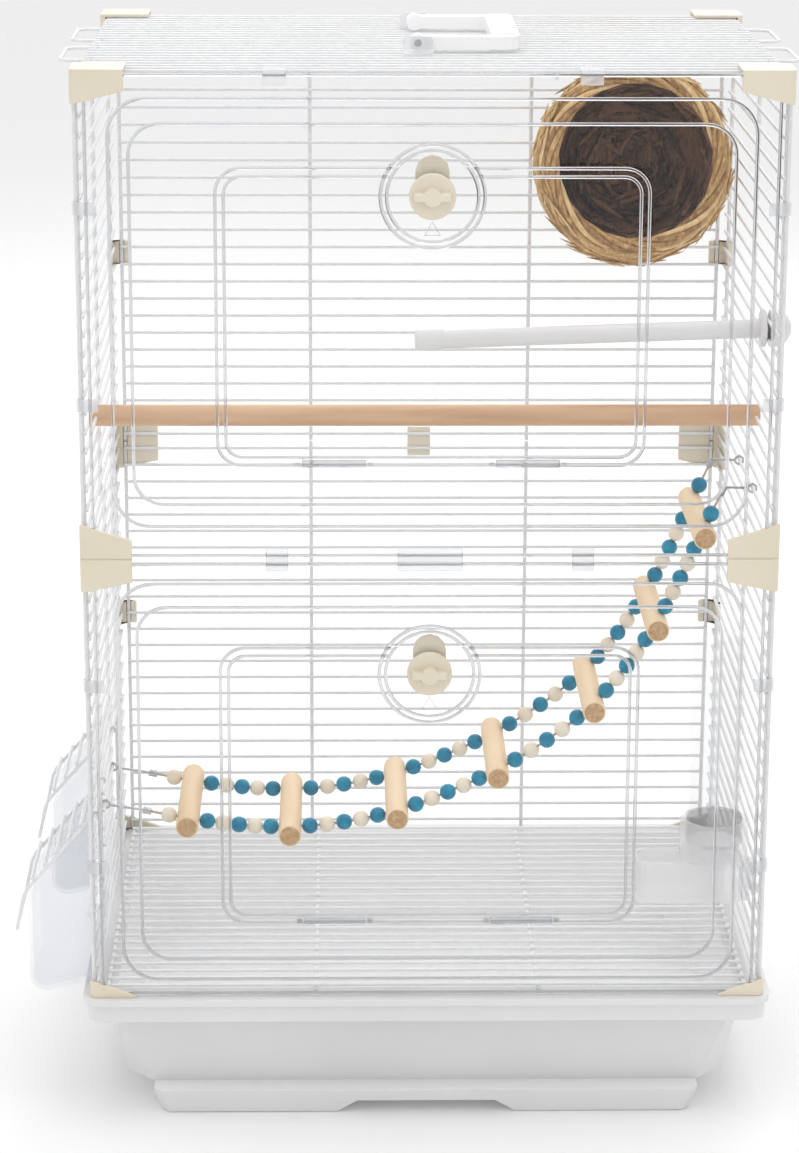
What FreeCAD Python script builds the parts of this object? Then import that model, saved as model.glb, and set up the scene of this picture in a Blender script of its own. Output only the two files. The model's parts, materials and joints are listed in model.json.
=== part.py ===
import FreeCAD, Part
import math
import os

# Two-storey bird cage: a white tray, wire walls on three sides and the roof, clear front panels
# with drop-down doors, and the fittings that hang inside and outside the walls.
# Millimetres. X to the right, Y to the back, Z up. The origin is on the floor under the cage's centre.

V = FreeCAD.Vector

# Overall
cage_width = 375.0
cage_depth = 272.0
base_height = 76.0

# Wire walls
bar_d = 1.8
upright_d = 2.2
bar_pitch = 10.5
wall_inset = 4.0
lower_wall_drop = 4.0
post_setback = 3.0
front_post_gap = 8.4
back_post_inset = 8.1
back_upright_x = 66.0
side_upright_y = 0.0
wire_end_gap = 0.3
wire_sides = 4
small_sides = 6
round_sides = 12
disc_sides = 20
latch_ring_sides = 24
arc_steps = 3
bead_sides = 5
string_sides = 4
rung_sides = 10
nest_sides = 18

# Fits
same_place = 0.001
cut_over = 1.0
fit_gap = 0.2
running_gap = 0.08

# Corner pieces
corner_leg = 28.0
corner_round = 4.0
cap_outer_h = 18.5
cap_inner_h = 11.3
cap_top_t = 1.6
connector_outer = (-18.0, 20.0)
connector_inner = (-12.0, 11.0)
seam_line_rise = 1.0
seam_line_h = 0.8
seam_line_depth = 0.6
wedge_leg = 26.0
wedge_outer_h = 10.0
wedge_inner_h = 1.2
rear_clip_leg = 13.0
rear_clip_h = 14.0
rear_clip_drops = (145.0, 371.0)
seam_clip_w = 14.0
seam_clip_h = 18.0
seam_clip_t = 2.4

# Roof
roof_end_gap = 15.0
roof_cross_x = 64.0
hairpin_reach = 9.0
hairpin_bend = 8.0
hairpin_root = 4.0
hairpin_butt = 0.05
hairpin_bar_count = 5
hairpin_lead_count = 8

# Base tray
lip_overhang = 4.0
lip_h = 4.0
skirt_inset = 2.5
skirt_h = 14.0
rim_corner_r = 12.0
tub_top_inset = (12.5, 12.5)
tub_bottom_inset = (17.5, 27.0)
tub_top_chamfer = 4.0
tub_bottom_chamfer = 15.5
tub_wall = 2.4
plinth_h = 14.0
plinth_top_inset = (33.5, 12.5)
plinth_bottom_inset = (38.5, 15.0)
plinth_pocket_inset = (62.5, 50.0)
arch_half = 50.0
arch_ramp = 11.0
arch_h = 7.0
arch_depth = 18.0

# Floor grille
grille_inset = (9.5, 11.0)
grille_cross_x = 62.0

# Clear front panels
panel_t = 2.0
panel_side_gap = 6.5
panel_seam_gap = 1.5
panel_top_gap = 2.0
panel_foot_gap = 1.0
ridge_h = 0.9
outer_frame = (12.0, 33.5, 36.0, 20.0)
inner_frame = (24.5, 19.5, 21.0, 15.0)
foot_tab_w = 33.0
top_tab_w = 29.0
panel_clip_x = 82.0
small_clip_w = 12.0
centre_clip_w = 35.0
panel_clip_h = 13.0
panel_clip_t = 1.6
edge_clip_rows = (("upper", 6), ("upper", 16), ("lower", 6), ("lower", 16))
edge_clip_h = 7.0
edge_clip_arm = 9.5
edge_clip_wall = 0.8

# Doors and their latches
door_w = 228.0
door_h = 160.5
door_round = 14.0
door_gap = 1.0
door_drop = 50.0
lower_door_drop = 48.0
upper_sill_h = 51.5
lower_sill_h = 43.5
rim_w = 6.0
hinge_inner_x = 34.0
hinge_outer_x = 69.0
hinge_ear_w = 3.0
hinge_side_gap = 0.3
hinge_r = 2.2
hinge_ear_r = 2.4
hinge_pin_r = 1.2
hinge_rise = 2.0
hinge_out = 2.8
ear_foot = 7.0
catch_boss_r = 5.5
catch_boss_rise = 9.0
latch_drop = 15.8
latch_ring_r = 25.3
latch_ring_w = 2.0
knob_r = 12.2
knob_t = 3.0
knob_gap = 0.3
knob_edge = 0.8
knob_shaft_r = 4.5
grip_w = 19.5
grip_h = 4.5
grip_out = 4.5
grip_boss_r = 4.75
tongue_half_w = 9.0
tongue_reach = 21.0
tongue_tail = 8.0
tongue_t = 2.2
tongue_gap = 0.3
tongue_foot_r = 2.0
latch_mark_w = 7.0
latch_mark_h = 7.5
latch_mark_line = 0.8

# Carry handle
handle_pivot_x = -6.0
handle_reach = 55.0
handle_span = 104.0
handle_arm_w = 9.0
handle_arm_t = 7.0
handle_grip_w = 15.0
handle_grip_t = 9.6
handle_round = 9.0
handle_edge = 2.0
handle_seat_gap = 0.3
handle_boss_r = 4.5
handle_pin_r = 2.0
handle_pin_l = 6.0
bracket_w = 16.0
bracket_ear_t = 4.0
bracket_gap = 0.4
bracket_plate_t = 2.2
bracket_plate_l = 12.0

# Perches
wood_perch_d = 12.0
wood_perch_depth = 95.0
wood_perch_row = 19
wood_perch_past = 2.5
plastic_perch_d = 10.0
plastic_perch_tip_d = 11.5
plastic_perch_tip_l = 16.0
plastic_perch_l = 189.0
plastic_perch_droop = 2.0
plastic_perch_depth = 55.0
plastic_perch_gap_row = 13
perch_flange_d = 20.0
perch_flange_t = 3.0
perch_stud_d = 6.0
perch_stud_l = 8.0
perch_nut_d = 20.0
perch_nut_t = 11.6

# Nest: a straw bowl lying on its side, its mouth to the front and tipped up
nest_from_side = 62.5
nest_from_back = 95.5
nest_drop = 74.0
nest_tilt = 12.0
nest_mouth_r = 42.0
nest_rim_r = 49.0
nest_belly_r = 57.0
nest_belly_at = 40.0
nest_shoulder_r = 54.5
nest_shoulder_at = 15.0
nest_hip_r = 51.0
nest_hip_at = 64.0
nest_back_r = 38.0
nest_depth = 84.0
nest_wall = 7.0
nest_hook_d = 2.0
nest_hook_spread = 22.0
nest_hook_row = 2
nest_hook_ring_r = 2.4

# Bead ladder: two strings, dowel rungs and beads, slung from wall to wall
string_d = 1.5
string_front_depth = 94.5
string_spacing = 64.5
string_points = (
    (-157.0, 151.5),
    (-138.0, 147.5),
    (-107.0, 143.0),
    (-76.0, 141.5),
    (-45.0, 144.5),
    (-14.0, 152.0),
    (15.5, 163.5),
    (43.5, 177.0),
    (71.0, 194.5),
    (95.5, 214.5),
    (115.0, 238.0),
    (130.5, 263.0),
    (144.5, 291.0),
    (156.5, 320.0),
    (165.5, 339.5),
)
rung_points = (1, 3, 5, 7, 9, 11, 13)
string_bend_share = 0.45
rung_d = 13.0
rung_front_over = 16.0
rung_rear_over = 11.5
bead_d = 9.4
bead_face_r = 2.4
bead_face_at = 4.2
beads_per_bay = 5
bead_play = 0.1
hole_sides = 3
string_hole_gap = 0.4
hook_wire_d = 1.2
hook_ring_r = 2.2
hook_crimp_d = 3.2
hook_crimp_l = 5.0
left_hook_row = 16
right_hook_row = 23

# Feeders: clear hooded cups in ports of the left wall, under wire flaps
feeder_near_depth = 50.0
feeder_spacing = 146.0
feeder_w = 62.0
feeder_port_half = 33.5
feeder_out = 34.0
feeder_wall = 2.0
feeder_floor_drop = 35.0
feeder_floor_step = 6.0
feeder_belly = 23.0
feeder_round = 8.0
feeder_sill_rise = 36.0
feeder_port_count = 6
feeder_port_rise = 2.0
feeder_port_margin = 3.0
feeder_hook_half = 15.0
feeder_hook_t = 2.0
feeder_hook_drop = 5.0
feeder_wall_gap = 0.4
flap_half = 28.0
flap_slope = 48.6
flap_run = 61.5
flap_lip = 23.5
flap_lip_slope = 78.0
flap_bend = 6.0
flap_corner = 5.0
flap_ring_r = 2.0
flap_ring_w = 4.0
flap_rest_gap = 0.4

# Water dispenser on the right wall
water_from_side = 21.5
water_depth = 46.0
water_sides = 14
bottle_r = 15.5
bottle_wall = 1.2
bottle_seat = 9.0
bottle_h = 124.0
bottle_shoulder = 10.0
collar_r = 19.0
collar_h = 23.0
collar_floor = 3.0
collar_spout_r = 5.0
trough_below_row = 6.5
trough_h = 24.0
trough_half = 13.0
trough_left = 44.0
trough_right = 16.0
trough_wall = 1.8
trough_round = 6.0
basin_back = 10.0
bracket_half = 9.0
bracket_h = 21.0
bracket_hook_t = 1.8
bracket_hook_drop = 4.0
bracket_hook_rise = 46.0

# Levels and planes worked out from the sizes above
half_w = cage_width / 2
half_d = cage_depth / 2
rim_z = base_height
seam_z = rim_z + lower_sill_h + door_h + lower_door_drop
top_z = seam_z + upper_sill_h + door_h + door_drop
bar_x = half_w - wall_inset
bar_y = half_d - wall_inset
upright_out = (bar_d + upright_d) / 2
upright_x = bar_x + upright_out
upright_y = bar_y + upright_out
corner_wall = wall_inset - bar_d / 2 - fit_gap
panel_front = -half_d + corner_wall + fit_gap
panel_back = panel_front + panel_t
panel_half = half_w - panel_side_gap
front_post_y = panel_back + post_setback
second_post_y = front_post_y + front_post_gap
rear_post_y = -front_post_y
back_post_x = half_w - back_post_inset
roof_z = top_z - cap_top_t - wire_end_gap - bar_d / 2
roof_cross_z = roof_z - upright_out
bar_point = bar_d / 2 / math.cos(math.pi / wire_sides)
upper_row_top = roof_z - bar_d / 2 - bar_point
lower_row_top = seam_z - lower_wall_drop
roof_bar_count = int((cage_depth - 2 * roof_end_gap) / bar_pitch) + 1
roof_ys = tuple((number - (roof_bar_count - 1) / 2) * bar_pitch for number in range(roof_bar_count))
hairpin_starts = (roof_bar_count // 2 - hairpin_lead_count, roof_bar_count // 2)
hairpin_rows = tuple((row, row + hairpin_bar_count) for row in hairpin_starts)
feeder_ys = tuple(feeder_near_depth + step - half_d for step in (0.0, feeder_spacing))
strings_y = tuple(string_front_depth + step - half_d for step in (0.0, string_spacing))


def within(inset):
    """Half width and half depth of a rectangle that lies that far inside the cage's outline."""
    return half_w - inset[0], half_d - inset[1]


def depth_y(depth):
    """Y of a place measured backwards from the front plane."""
    return depth - half_d


def upper_row(number):
    return upper_row_top - number * bar_pitch


def lower_row(number):
    return lower_row_top - number * bar_pitch


def row_over_rim(rise):
    """Number of the lowest bar of the lower walls that stands at least so far over the tray's rim."""
    return int((lower_row_top - rim_z - rise) / bar_pitch)


feeder_sill_row = row_over_rim(feeder_sill_rise)
feeder_flap_row = feeder_sill_row - feeder_port_count
bracket_hook_row = row_over_rim(bracket_hook_rise)


def rows_between(first, low):
    """Heights of the bars from the first one down to the lowest that stays above low."""
    count = int((first - low) / bar_pitch) + 1
    return [first - number * bar_pitch for number in range(count)]


# Shape helpers

def box(x, y, z):
    """A block between the low and high limits given on each axis, in either order."""
    low = V(min(x), min(y), min(z))
    return Part.makeBox(max(x) - low.x, max(y) - low.y, max(z) - low.z, low)


def rod(start, end, diameter):
    way = end - start
    return Part.makeCylinder(diameter / 2, way.Length, start, way)


def corner_arc(before, corner, after, radius):
    """Start, middle and end of the arc that rounds a corner."""
    back = (before - corner).normalize()
    on = (after - corner).normalize()
    half = back.getAngle(on) / 2
    reach = radius / math.tan(half)
    bisector = (back + on).normalize()
    middle = corner + bisector * (radius / math.sin(half) - radius)
    return corner + back * reach, middle, corner + on * reach


def rounded_edges(points, radii):
    """Lines through the points of an open path, with a tangent arc at each corner."""
    edges = []
    start = points[0]
    for number in range(1, len(points) - 1):
        arc_start, middle, arc_end = corner_arc(*points[number - 1:number + 2], radii[number])
        edges.append(Part.LineSegment(start, arc_start).toShape())
        edges.append(Part.Arc(arc_start, middle, arc_end).toShape())
        start = arc_end
    edges.append(Part.LineSegment(start, points[-1]).toShape())
    return edges


def corner_chords(before, corner, after, radius):
    """Points along the arc that rounds a corner, a few chords apart."""
    back = (before - corner).normalize()
    on = (after - corner).normalize()
    half = back.getAngle(on) / 2
    centre = corner + (back + on).normalize() * (radius / math.sin(half))
    reach = radius / math.tan(half)
    start = corner + back * reach - centre
    end = corner + on * reach - centre
    turn = math.pi - 2 * half
    points = []
    for step in range(arc_steps + 1):
        along = turn * step / arc_steps
        points.append(centre + (start * math.sin(turn - along) + end * math.sin(along)) / math.sin(turn))
    return points


def rounded_face(points, radii):
    """A flat face through the points, with each corner rounded by its own radius."""
    ring = []
    count = len(points)
    for number, point in enumerate(points):
        if radii[number] > 0:
            ring += corner_chords(points[number - 1], point, points[(number + 1) % count], radii[number])
        else:
            ring.append(point)
    kept = [point for point, before in zip(ring, ring[-1:] + ring) if (point - before).Length > same_place]
    return flat_face(kept)


def outline(points, radius):
    """A flat face with every corner rounded alike."""
    return rounded_face(points, [radius] * len(points))


def prism(points, way, radius=0.0):
    return outline(points, radius).extrude(way)


def polygon_at(centre, way, flat, apothem, sides):
    """Corners of a regular polygon square to a direction, with one side facing along flat."""
    side = V(flat).normalize()
    other = V(way).normalize().cross(side)
    radius = apothem / math.cos(math.pi / sides)
    corners = []
    for number in range(sides):
        angle = (2 * number + 1) * math.pi / sides
        corners.append(centre + side * (radius * math.cos(angle)) + other * (radius * math.sin(angle)))
    return corners


def many_sided(start, end, diameter, flat, sides):
    """A straight bar of few sides, whose flats lie at its diameter."""
    return prism(polygon_at(start, end - start, flat, diameter / 2, sides), end - start)


def wire(start, end, diameter, flat):
    return many_sided(start, end, diameter, flat, wire_sides)


def flat_face(corners):
    return Part.Face(Part.makePolygon(corners + corners[:1]))


def through(sections):
    """A flat-faced solid through rings of corners."""
    faces = [flat_face(sections[0]), flat_face(sections[-1])]
    for low, high in zip(sections, sections[1:]):
        for number in range(len(low)):
            following = (number + 1) % len(low)
            faces.append(flat_face([low[number], low[following], high[following], high[number]]))
    shell = Part.makeShell(faces)
    shell.sewShape()
    solid = Part.makeSolid(shell)
    if solid.Volume < 0:
        solid.reverse()
    return solid


def bent_wire(points, diameter, flat):
    """A wire of straight runs with mitred bends."""
    ways = [(end - start).normalize() for start, end in zip(points, points[1:])]
    corners = polygon_at(points[0], ways[0], flat, diameter / 2, wire_sides)
    sections = [corners]
    for point, before, after in zip(points[1:], ways, ways[1:] + ways[-1:]):
        mitre = (before + after).normalize()
        corners = [corner + before * ((point - corner).dot(mitre) / before.dot(mitre)) for corner in corners]
        sections.append(corners)
    return through(sections)


def eye(centre, axis, flat, outer_r, inner_r, length):
    """A short tube of few sides round a bar."""
    way = V(axis).normalize() * length
    start = centre - way / 2
    outer = many_sided(start, start + way, 2 * outer_r, flat, small_sides)
    return outer.cut(many_sided(start, start + way, 2 * inner_r, flat, small_sides))


def softened(points, sizes):
    """A path whose corners are cut off by the sizes given, so that each turns in two steps."""
    path = [points[0]]
    for before, corner, after, size in zip(points, points[1:], points[2:], sizes):
        path.append(corner + (before - corner).normalize() * size)
        path.append(corner + (after - corner).normalize() * size)
    return path + [points[-1]]


def tube_along(edges, diameter, flat):
    """A thin tube of few sides swept along a path of lines and tangent arcs."""
    path = Part.Wire(edges)
    first = path.Edges[0]
    start = first.valueAt(first.FirstParameter)
    corners = polygon_at(start, first.tangentAt(first.FirstParameter), flat, diameter / 2, string_sides)
    return path.makePipeShell([Part.makePolygon(corners + corners[:1])], True, False)


def fused(shapes):
    whole = shapes[0].fuse(shapes[1:]) if len(shapes) > 1 else shapes[0]
    return whole.removeSplitter()


def turned(shape, centre, axis, degrees):
    copy = shape.copy()
    copy.rotate(centre, axis, degrees)
    return copy


def front_rectangle(half, low, high, radius, front, back):
    """A rounded rectangle standing in the front plane, from its front face to its back face."""
    corners = [V(-half, front, low), V(half, front, low), V(half, front, high), V(-half, front, high)]
    return prism(corners, V(0, back - front, 0), radius)


def front_band(outer, inner, front, height):
    """A raised band on a front face, between two rounded rectangles given as (half, low, high, radius)."""
    return front_rectangle(*outer, front - height, front).cut(front_rectangle(*inner, front - height, front))


def front_disc(z, radius, front, back, sides):
    """A disc on the door's middle line, from its front face to its back face."""
    return many_sided(V(0, front, z), V(0, back, z), 2 * radius, V(0, 0, 1), sides)


# Base tray and floor grille

def chamfered_rectangle(half, chamfer, z):
    """Corners of a rectangle with its corners cut off, lying at height z."""
    x, y = half
    return [
        V(-x + chamfer, -y, z),
        V(x - chamfer, -y, z),
        V(x, -y + chamfer, z),
        V(x, y - chamfer, z),
        V(x - chamfer, y, z),
        V(-x + chamfer, y, z),
        V(-x, y - chamfer, z),
        V(-x, -y + chamfer, z),
    ]


def plan_rectangle(half_x, half_y, radius, low, high):
    ends = ((-half_x, -half_y), (half_x, -half_y), (half_x, half_y), (-half_x, half_y))
    corners = [V(x, y, low) for x, y in ends]
    return prism(corners, V(0, 0, high - low), radius)


def tub_block(inset, low, middle, high):
    """The tub's outer or inner form: tapering up to the middle height, upright above it."""
    bottom = tuple(half - inset for half in within(tub_bottom_inset))
    top = tuple(half - inset for half in within(tub_top_inset))
    bottom_cut = tub_bottom_chamfer - inset / 2
    top_cut = tub_top_chamfer - inset / 2
    return through(
        [
            chamfered_rectangle(bottom, bottom_cut, low),
            chamfered_rectangle(top, top_cut, middle),
            chamfered_rectangle(top, top_cut, high),
        ]
    )


def base_tray():
    lip_x = half_w + lip_overhang
    lip_y = half_d + lip_overhang
    skirt_low = rim_z - skirt_h
    lip = plan_rectangle(lip_x, lip_y, rim_corner_r, rim_z - lip_h, rim_z)
    skirt_x = lip_x - skirt_inset
    skirt_y = lip_y - skirt_inset
    skirt = plan_rectangle(skirt_x, skirt_y, rim_corner_r - skirt_inset, skirt_low, rim_z - lip_h)
    hollow_half = (skirt_x - tub_wall, skirt_y - tub_wall)
    hollow_cut = rim_corner_r - skirt_inset - tub_wall
    hollow = through(
        [
            chamfered_rectangle(hollow_half, hollow_cut, skirt_low),
            chamfered_rectangle(hollow_half, hollow_cut, rim_z - tub_wall),
        ]
    )
    rim = lip.fuse(skirt).cut(hollow)
    tub = tub_block(0.0, plinth_h, skirt_low, rim_z)
    inside = tub_block(tub_wall, plinth_h + tub_wall, skirt_low, rim_z)
    plinth = through(
        [
            chamfered_rectangle(within(plinth_bottom_inset), tub_top_chamfer, 0.0),
            chamfered_rectangle(within(plinth_top_inset), tub_top_chamfer, plinth_h),
        ]
    )
    pocket_x, pocket_y = within(plinth_pocket_inset)
    pocket = box((-pocket_x, pocket_x), (-pocket_y, pocket_y), (0, plinth_h))
    arch = [
        V(-arch_half, 0, 0),
        V(arch_half, 0, 0),
        V(arch_half - arch_ramp, 0, arch_h),
        V(arch_ramp - arch_half, 0, arch_h),
    ]
    tray = rim.fuse([tub, plinth]).cut([inside, pocket])
    for end in (-1, 1):
        cut = prism(arch, V(0, 2 * arch_depth, 0))
        cut.translate(V(0, end * within(plinth_bottom_inset)[1] - arch_depth, 0))
        tray = tray.cut(cut)
    return tray.removeSplitter()


def floor_grille():
    x, y = within(grille_inset)
    spaces = round(2 * y / bar_pitch)
    frame_z = rim_z + upright_d / 2
    bars_z = frame_z + upright_out
    over = upright_d / 2
    up = V(0, 0, 1)
    wires = []
    for cross in (-x, -grille_cross_x, grille_cross_x, x):
        wires.append(wire(V(cross, -y - over, frame_z), V(cross, y + over, frame_z), upright_d, up))
    for number in range(spaces + 1):
        bar = (2 * number / spaces - 1) * y
        wires.append(wire(V(-x - over, bar, bars_z), V(x + over, bar, bars_z), bar_d, up))
    return Part.makeCompound(wires)


# Wire walls and roof

def uprights(places, out, low, high):
    """Upright wires, with a flat side turned outwards to the bars that they are welded to."""
    return [wire(V(x, y, low), V(x, y, high), upright_d, out) for x, y in places]


def side_bar(side, z, start, end):
    return wire(V(side * bar_x, start, z), V(side * bar_x, end, z), bar_d, V(1, 0, 0))


bar_front_end = front_post_y - upright_d / 2
bar_rear_end = rear_post_y + upright_d / 2
upper_span = (seam_z + wire_end_gap, upper_row_top + bar_d / 3)
lower_span = (rim_z + wire_end_gap, seam_z - wire_end_gap)


def plain_side_panel(side, first_row, span):
    ys = (front_post_y, second_post_y, side_upright_y, rear_post_y)
    wires = [side_bar(side, z, bar_front_end, bar_rear_end) for z in rows_between(first_row, span[0] + bar_d)]
    return Part.makeCompound(wires + uprights([(side * upright_x, y) for y in ys], V(1, 0, 0), *span))


def left_panel_lower():
    """The left wall's lower section: a framed port for each feeder, under the round bar the flaps turn on."""
    near, far = feeder_ys
    port_ys = (near + feeder_port_half, far - feeder_port_half, far + feeder_port_half)
    over = upright_d / 2
    stretches = (
        (bar_front_end, second_post_y + over),
        (port_ys[0] - over, port_ys[1] + over),
        (port_ys[2] - over, bar_rear_end),
    )
    posts = (front_post_y, second_post_y, rear_post_y) + port_ys
    wires = uprights([(-upright_x, y) for y in posts], V(1, 0, 0), *lower_span)
    for number, z in enumerate(rows_between(lower_row_top, lower_span[0] + bar_d)):
        if number == feeder_flap_row:
            wires.append(rod(V(-bar_x, bar_front_end, z), V(-bar_x, bar_rear_end, z), bar_d))
        elif feeder_flap_row < number < feeder_sill_row:
            wires += [side_bar(-1, z, *stretch) for stretch in stretches]
        else:
            wires.append(side_bar(-1, z, bar_front_end, bar_rear_end))
    return Part.makeCompound(wires)


def back_panel(first_row, span):
    end = back_post_x + upright_d / 2
    wires = []
    for z in rows_between(first_row, span[0] + bar_d):
        wires.append(wire(V(-end, bar_y, z), V(end, bar_y, z), bar_d, V(0, 1, 0)))
    xs = (-back_post_x, -back_upright_x, back_upright_x, back_post_x)
    return Part.makeCompound(wires + uprights([(x, upright_y) for x in xs], V(0, 1, 0), *span))


def hairpin_end(side, first_y, second_y):
    """The loop outside a side wall in which two roof bars run on into each other."""
    root = side * (bar_x - hairpin_root)
    reach = side * (half_w + hairpin_reach)
    ends = ((root, first_y), (reach, first_y), (reach, second_y), (root, second_y))
    points = [V(x, y, roof_z) for x, y in ends]
    bend = hairpin_bend / 2
    return bent_wire(softened(points, (bend, bend)), bar_d, V(0, 0, 1))


def roof_panel():
    up = V(0, 0, 1)
    looped = [number for pair in hairpin_rows for number in pair]
    plain_end = bar_x + bar_d / 2 - fit_gap
    looped_end = bar_x - hairpin_root - hairpin_butt
    wires = []
    for number, y in enumerate(roof_ys):
        end = looped_end if number in looped else plain_end
        wires.append(wire(V(-end, y, roof_z), V(end, y, roof_z), bar_d, up))
    for first, second in hairpin_rows:
        for side in (-1, 1):
            wires.append(hairpin_end(side, roof_ys[first], roof_ys[second]))
    rear = bar_y - bar_d / 2 - wire_end_gap
    for x in (-back_post_x, -roof_cross_x, roof_cross_x, back_post_x):
        wires.append(wire(V(x, bar_front_end, roof_cross_z), V(x, rear, roof_cross_z), upright_d, up))
    return Part.makeCompound(wires)


# Corner pieces

def corner_posts(side, end):
    """Where the uprights stand at a corner: two of the side wall in front, one of each wall behind."""
    if end < 0:
        return [(side * upright_x, front_post_y), (side * upright_x, second_post_y)]
    return [(side * upright_x, rear_post_y), (side * back_post_x, upright_y)]


def corner_piece(side, end, leg, outer, inner, lid=False):
    """An angle outside a corner's wires. Outer and inner are (low, high) at the corner and the legs' ends."""
    x_out = side * half_w
    y_out = end * half_d
    x_in = x_out - side * leg
    y_in = y_out - end * leg
    bottom = V(x_out, y_out, outer[0])
    top = V(x_out, y_out, outer[1])
    across = [bottom, top, V(x_in, y_out, inner[1]), V(x_in, y_out, inner[0])]
    along = [bottom, top, V(x_out, y_in, inner[1]), V(x_out, y_in, inner[0])]
    plates = [prism(across, V(0, -end * corner_wall, 0)), prism(along, V(-side * corner_wall, 0, 0))]
    groove_top = outer[1] + cut_over
    if lid:
        groove_top = outer[1] - cap_top_t
        plates.append(box((x_out, x_in), (y_out, y_in), (groove_top, outer[1])))
    piece = fused(plates).common(plan_rectangle(half_w, half_d, corner_round, outer[0], outer[1]))
    groove = upright_d / 2 + fit_gap
    levels = (outer[0] - 1, groove_top)
    for x, y in corner_posts(side, end):
        piece = piece.cut(box((x - groove, x + groove), (y - groove, y + groove), levels))
    return piece


def top_cap(side, end):
    outer = (top_z - cap_outer_h, top_z)
    inner = (top_z - cap_inner_h, top_z)
    return corner_piece(side, end, corner_leg, outer, inner, lid=True)


def connector(side, end):
    """The angle over the joint of the two storeys, with a fine line round it where its halves meet."""
    outer = tuple(seam_z + level for level in connector_outer)
    inner = tuple(seam_z + level for level in connector_inner)
    low = seam_z + seam_line_rise - seam_line_h / 2
    high = low + seam_line_h
    inner_r = corner_round - seam_line_depth
    whole = plan_rectangle(half_w, half_d, corner_round, low, high)
    core = plan_rectangle(half_w - seam_line_depth, half_d - seam_line_depth, inner_r, low, high)
    return corner_piece(side, end, corner_leg, outer, inner).cut(whole.cut(core))


def bottom_wedge(side, end):
    return corner_piece(side, end, wedge_leg, (rim_z, rim_z + wedge_outer_h), (rim_z, rim_z + wedge_inner_h))


def rear_corner_clips():
    clips = []
    for side in (-1, 1):
        for drop in rear_clip_drops:
            levels = (top_z - drop - rear_clip_h / 2, top_z - drop + rear_clip_h / 2)
            clips.append(corner_piece(side, 1, rear_clip_leg, levels, levels))
    return Part.makeCompound(clips)


def rear_seam_clip():
    inner = bar_y + bar_d / 2
    half = seam_clip_w / 2
    levels = (seam_z - seam_clip_h / 2, seam_z + seam_clip_h / 2)
    plate = box((-half, half), (inner, inner + seam_clip_t), levels)
    outer_edges = [edge for edge in plate.Edges if edge.BoundBox.YMin > inner + seam_clip_t / 2]
    return plate.makeChamfer(seam_clip_t / 2, outer_edges)


# Clear front: panels, doors and latches

upper_panel_span = (seam_z + panel_seam_gap, top_z - panel_top_gap)
lower_panel_span = (rim_z + panel_foot_gap, seam_z - panel_seam_gap)
upper_door_low = top_z - door_drop - door_h
lower_door_low = seam_z - lower_door_drop - door_h
hinge_y = panel_front - hinge_out


def hinge_z(door_low):
    return door_low + hinge_rise


def latch_z(door_low):
    return door_low + door_h - latch_drop


def latch_ring(door_low):
    z = latch_z(door_low)
    front = panel_front - ridge_h
    outer = front_disc(z, latch_ring_r + latch_ring_w / 2, front, panel_front, latch_ring_sides)
    return outer.cut(front_disc(z, latch_ring_r - latch_ring_w / 2, front, panel_front, latch_ring_sides))


def hinge_stations():
    """Inner and outer X of each door knuckle."""
    return ((-hinge_outer_x, -hinge_inner_x), (hinge_inner_x, hinge_outer_x))


def hinge_ear(x_low, x_high, door_low):
    """One ear of a hinge, standing on the panel below the door, with the bore for the door's pin."""
    z = hinge_z(door_low)
    front = hinge_y - hinge_ear_r
    rear = hinge_y + hinge_ear_r
    bevel = hinge_ear_r / 2
    seat_z = door_low - door_gap
    side = [
        V(x_low, panel_front, seat_z - ear_foot),
        V(x_low, front, seat_z - ear_foot / 2),
        V(x_low, front, z + hinge_ear_r - bevel),
        V(x_low, front + bevel, z + hinge_ear_r),
        V(x_low, rear - bevel, z + hinge_ear_r),
        V(x_low, rear, z + hinge_ear_r - bevel),
        V(x_low, rear, seat_z),
        V(x_low, panel_front, seat_z),
    ]
    way = V(x_high - x_low, 0, 0)
    pivot = V(x_low, hinge_y, z)
    bore = many_sided(pivot, pivot + way, 2 * (hinge_pin_r + running_gap), V(0, 0, 1), small_sides)
    return prism(side, way).cut(bore)


def front_panel(span, door_low, tabs):
    low, high = span
    door_high = door_low + door_h
    sheet = box((-panel_half, panel_half), (panel_front, panel_back), span)
    frames = []
    for inset, below, above, corner in (outer_frame, inner_frame):
        frames.append((panel_half - inset, door_low - below, door_high + above, corner))
    below_door = box((-panel_half, panel_half), (panel_front - ridge_h, panel_front), (low, door_high))
    lines = [front_band(*frames, panel_front, ridge_h), latch_ring(door_low).cut(below_door)]
    opening = front_rectangle(
        door_w / 2 + door_gap,
        door_low - door_gap,
        door_high + door_gap,
        door_round + door_gap,
        panel_front - ridge_h,
        panel_back,
    )
    panel = sheet.fuse(lines).cut(opening)
    ears = []
    for x_low, x_high in hinge_stations():
        for x in (x_low - hinge_side_gap - hinge_ear_w, x_high + hinge_side_gap):
            ears.append(hinge_ear(x, x + hinge_ear_w, door_low))
    return panel.fuse(ears + tabs).removeSplitter()


def front_panel_upper():
    half = top_tab_w / 2
    top_tab = box((-half, half), (panel_front, panel_back), (upper_panel_span[1], top_z))
    return front_panel(upper_panel_span, upper_door_low, [top_tab])


def front_panel_lower():
    half = foot_tab_w / 2
    foot_tab = box((-half, half), (panel_front, panel_back), (rim_z + wire_end_gap, lower_panel_span[0]))
    return front_panel(lower_panel_span, lower_door_low, [foot_tab])


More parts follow.
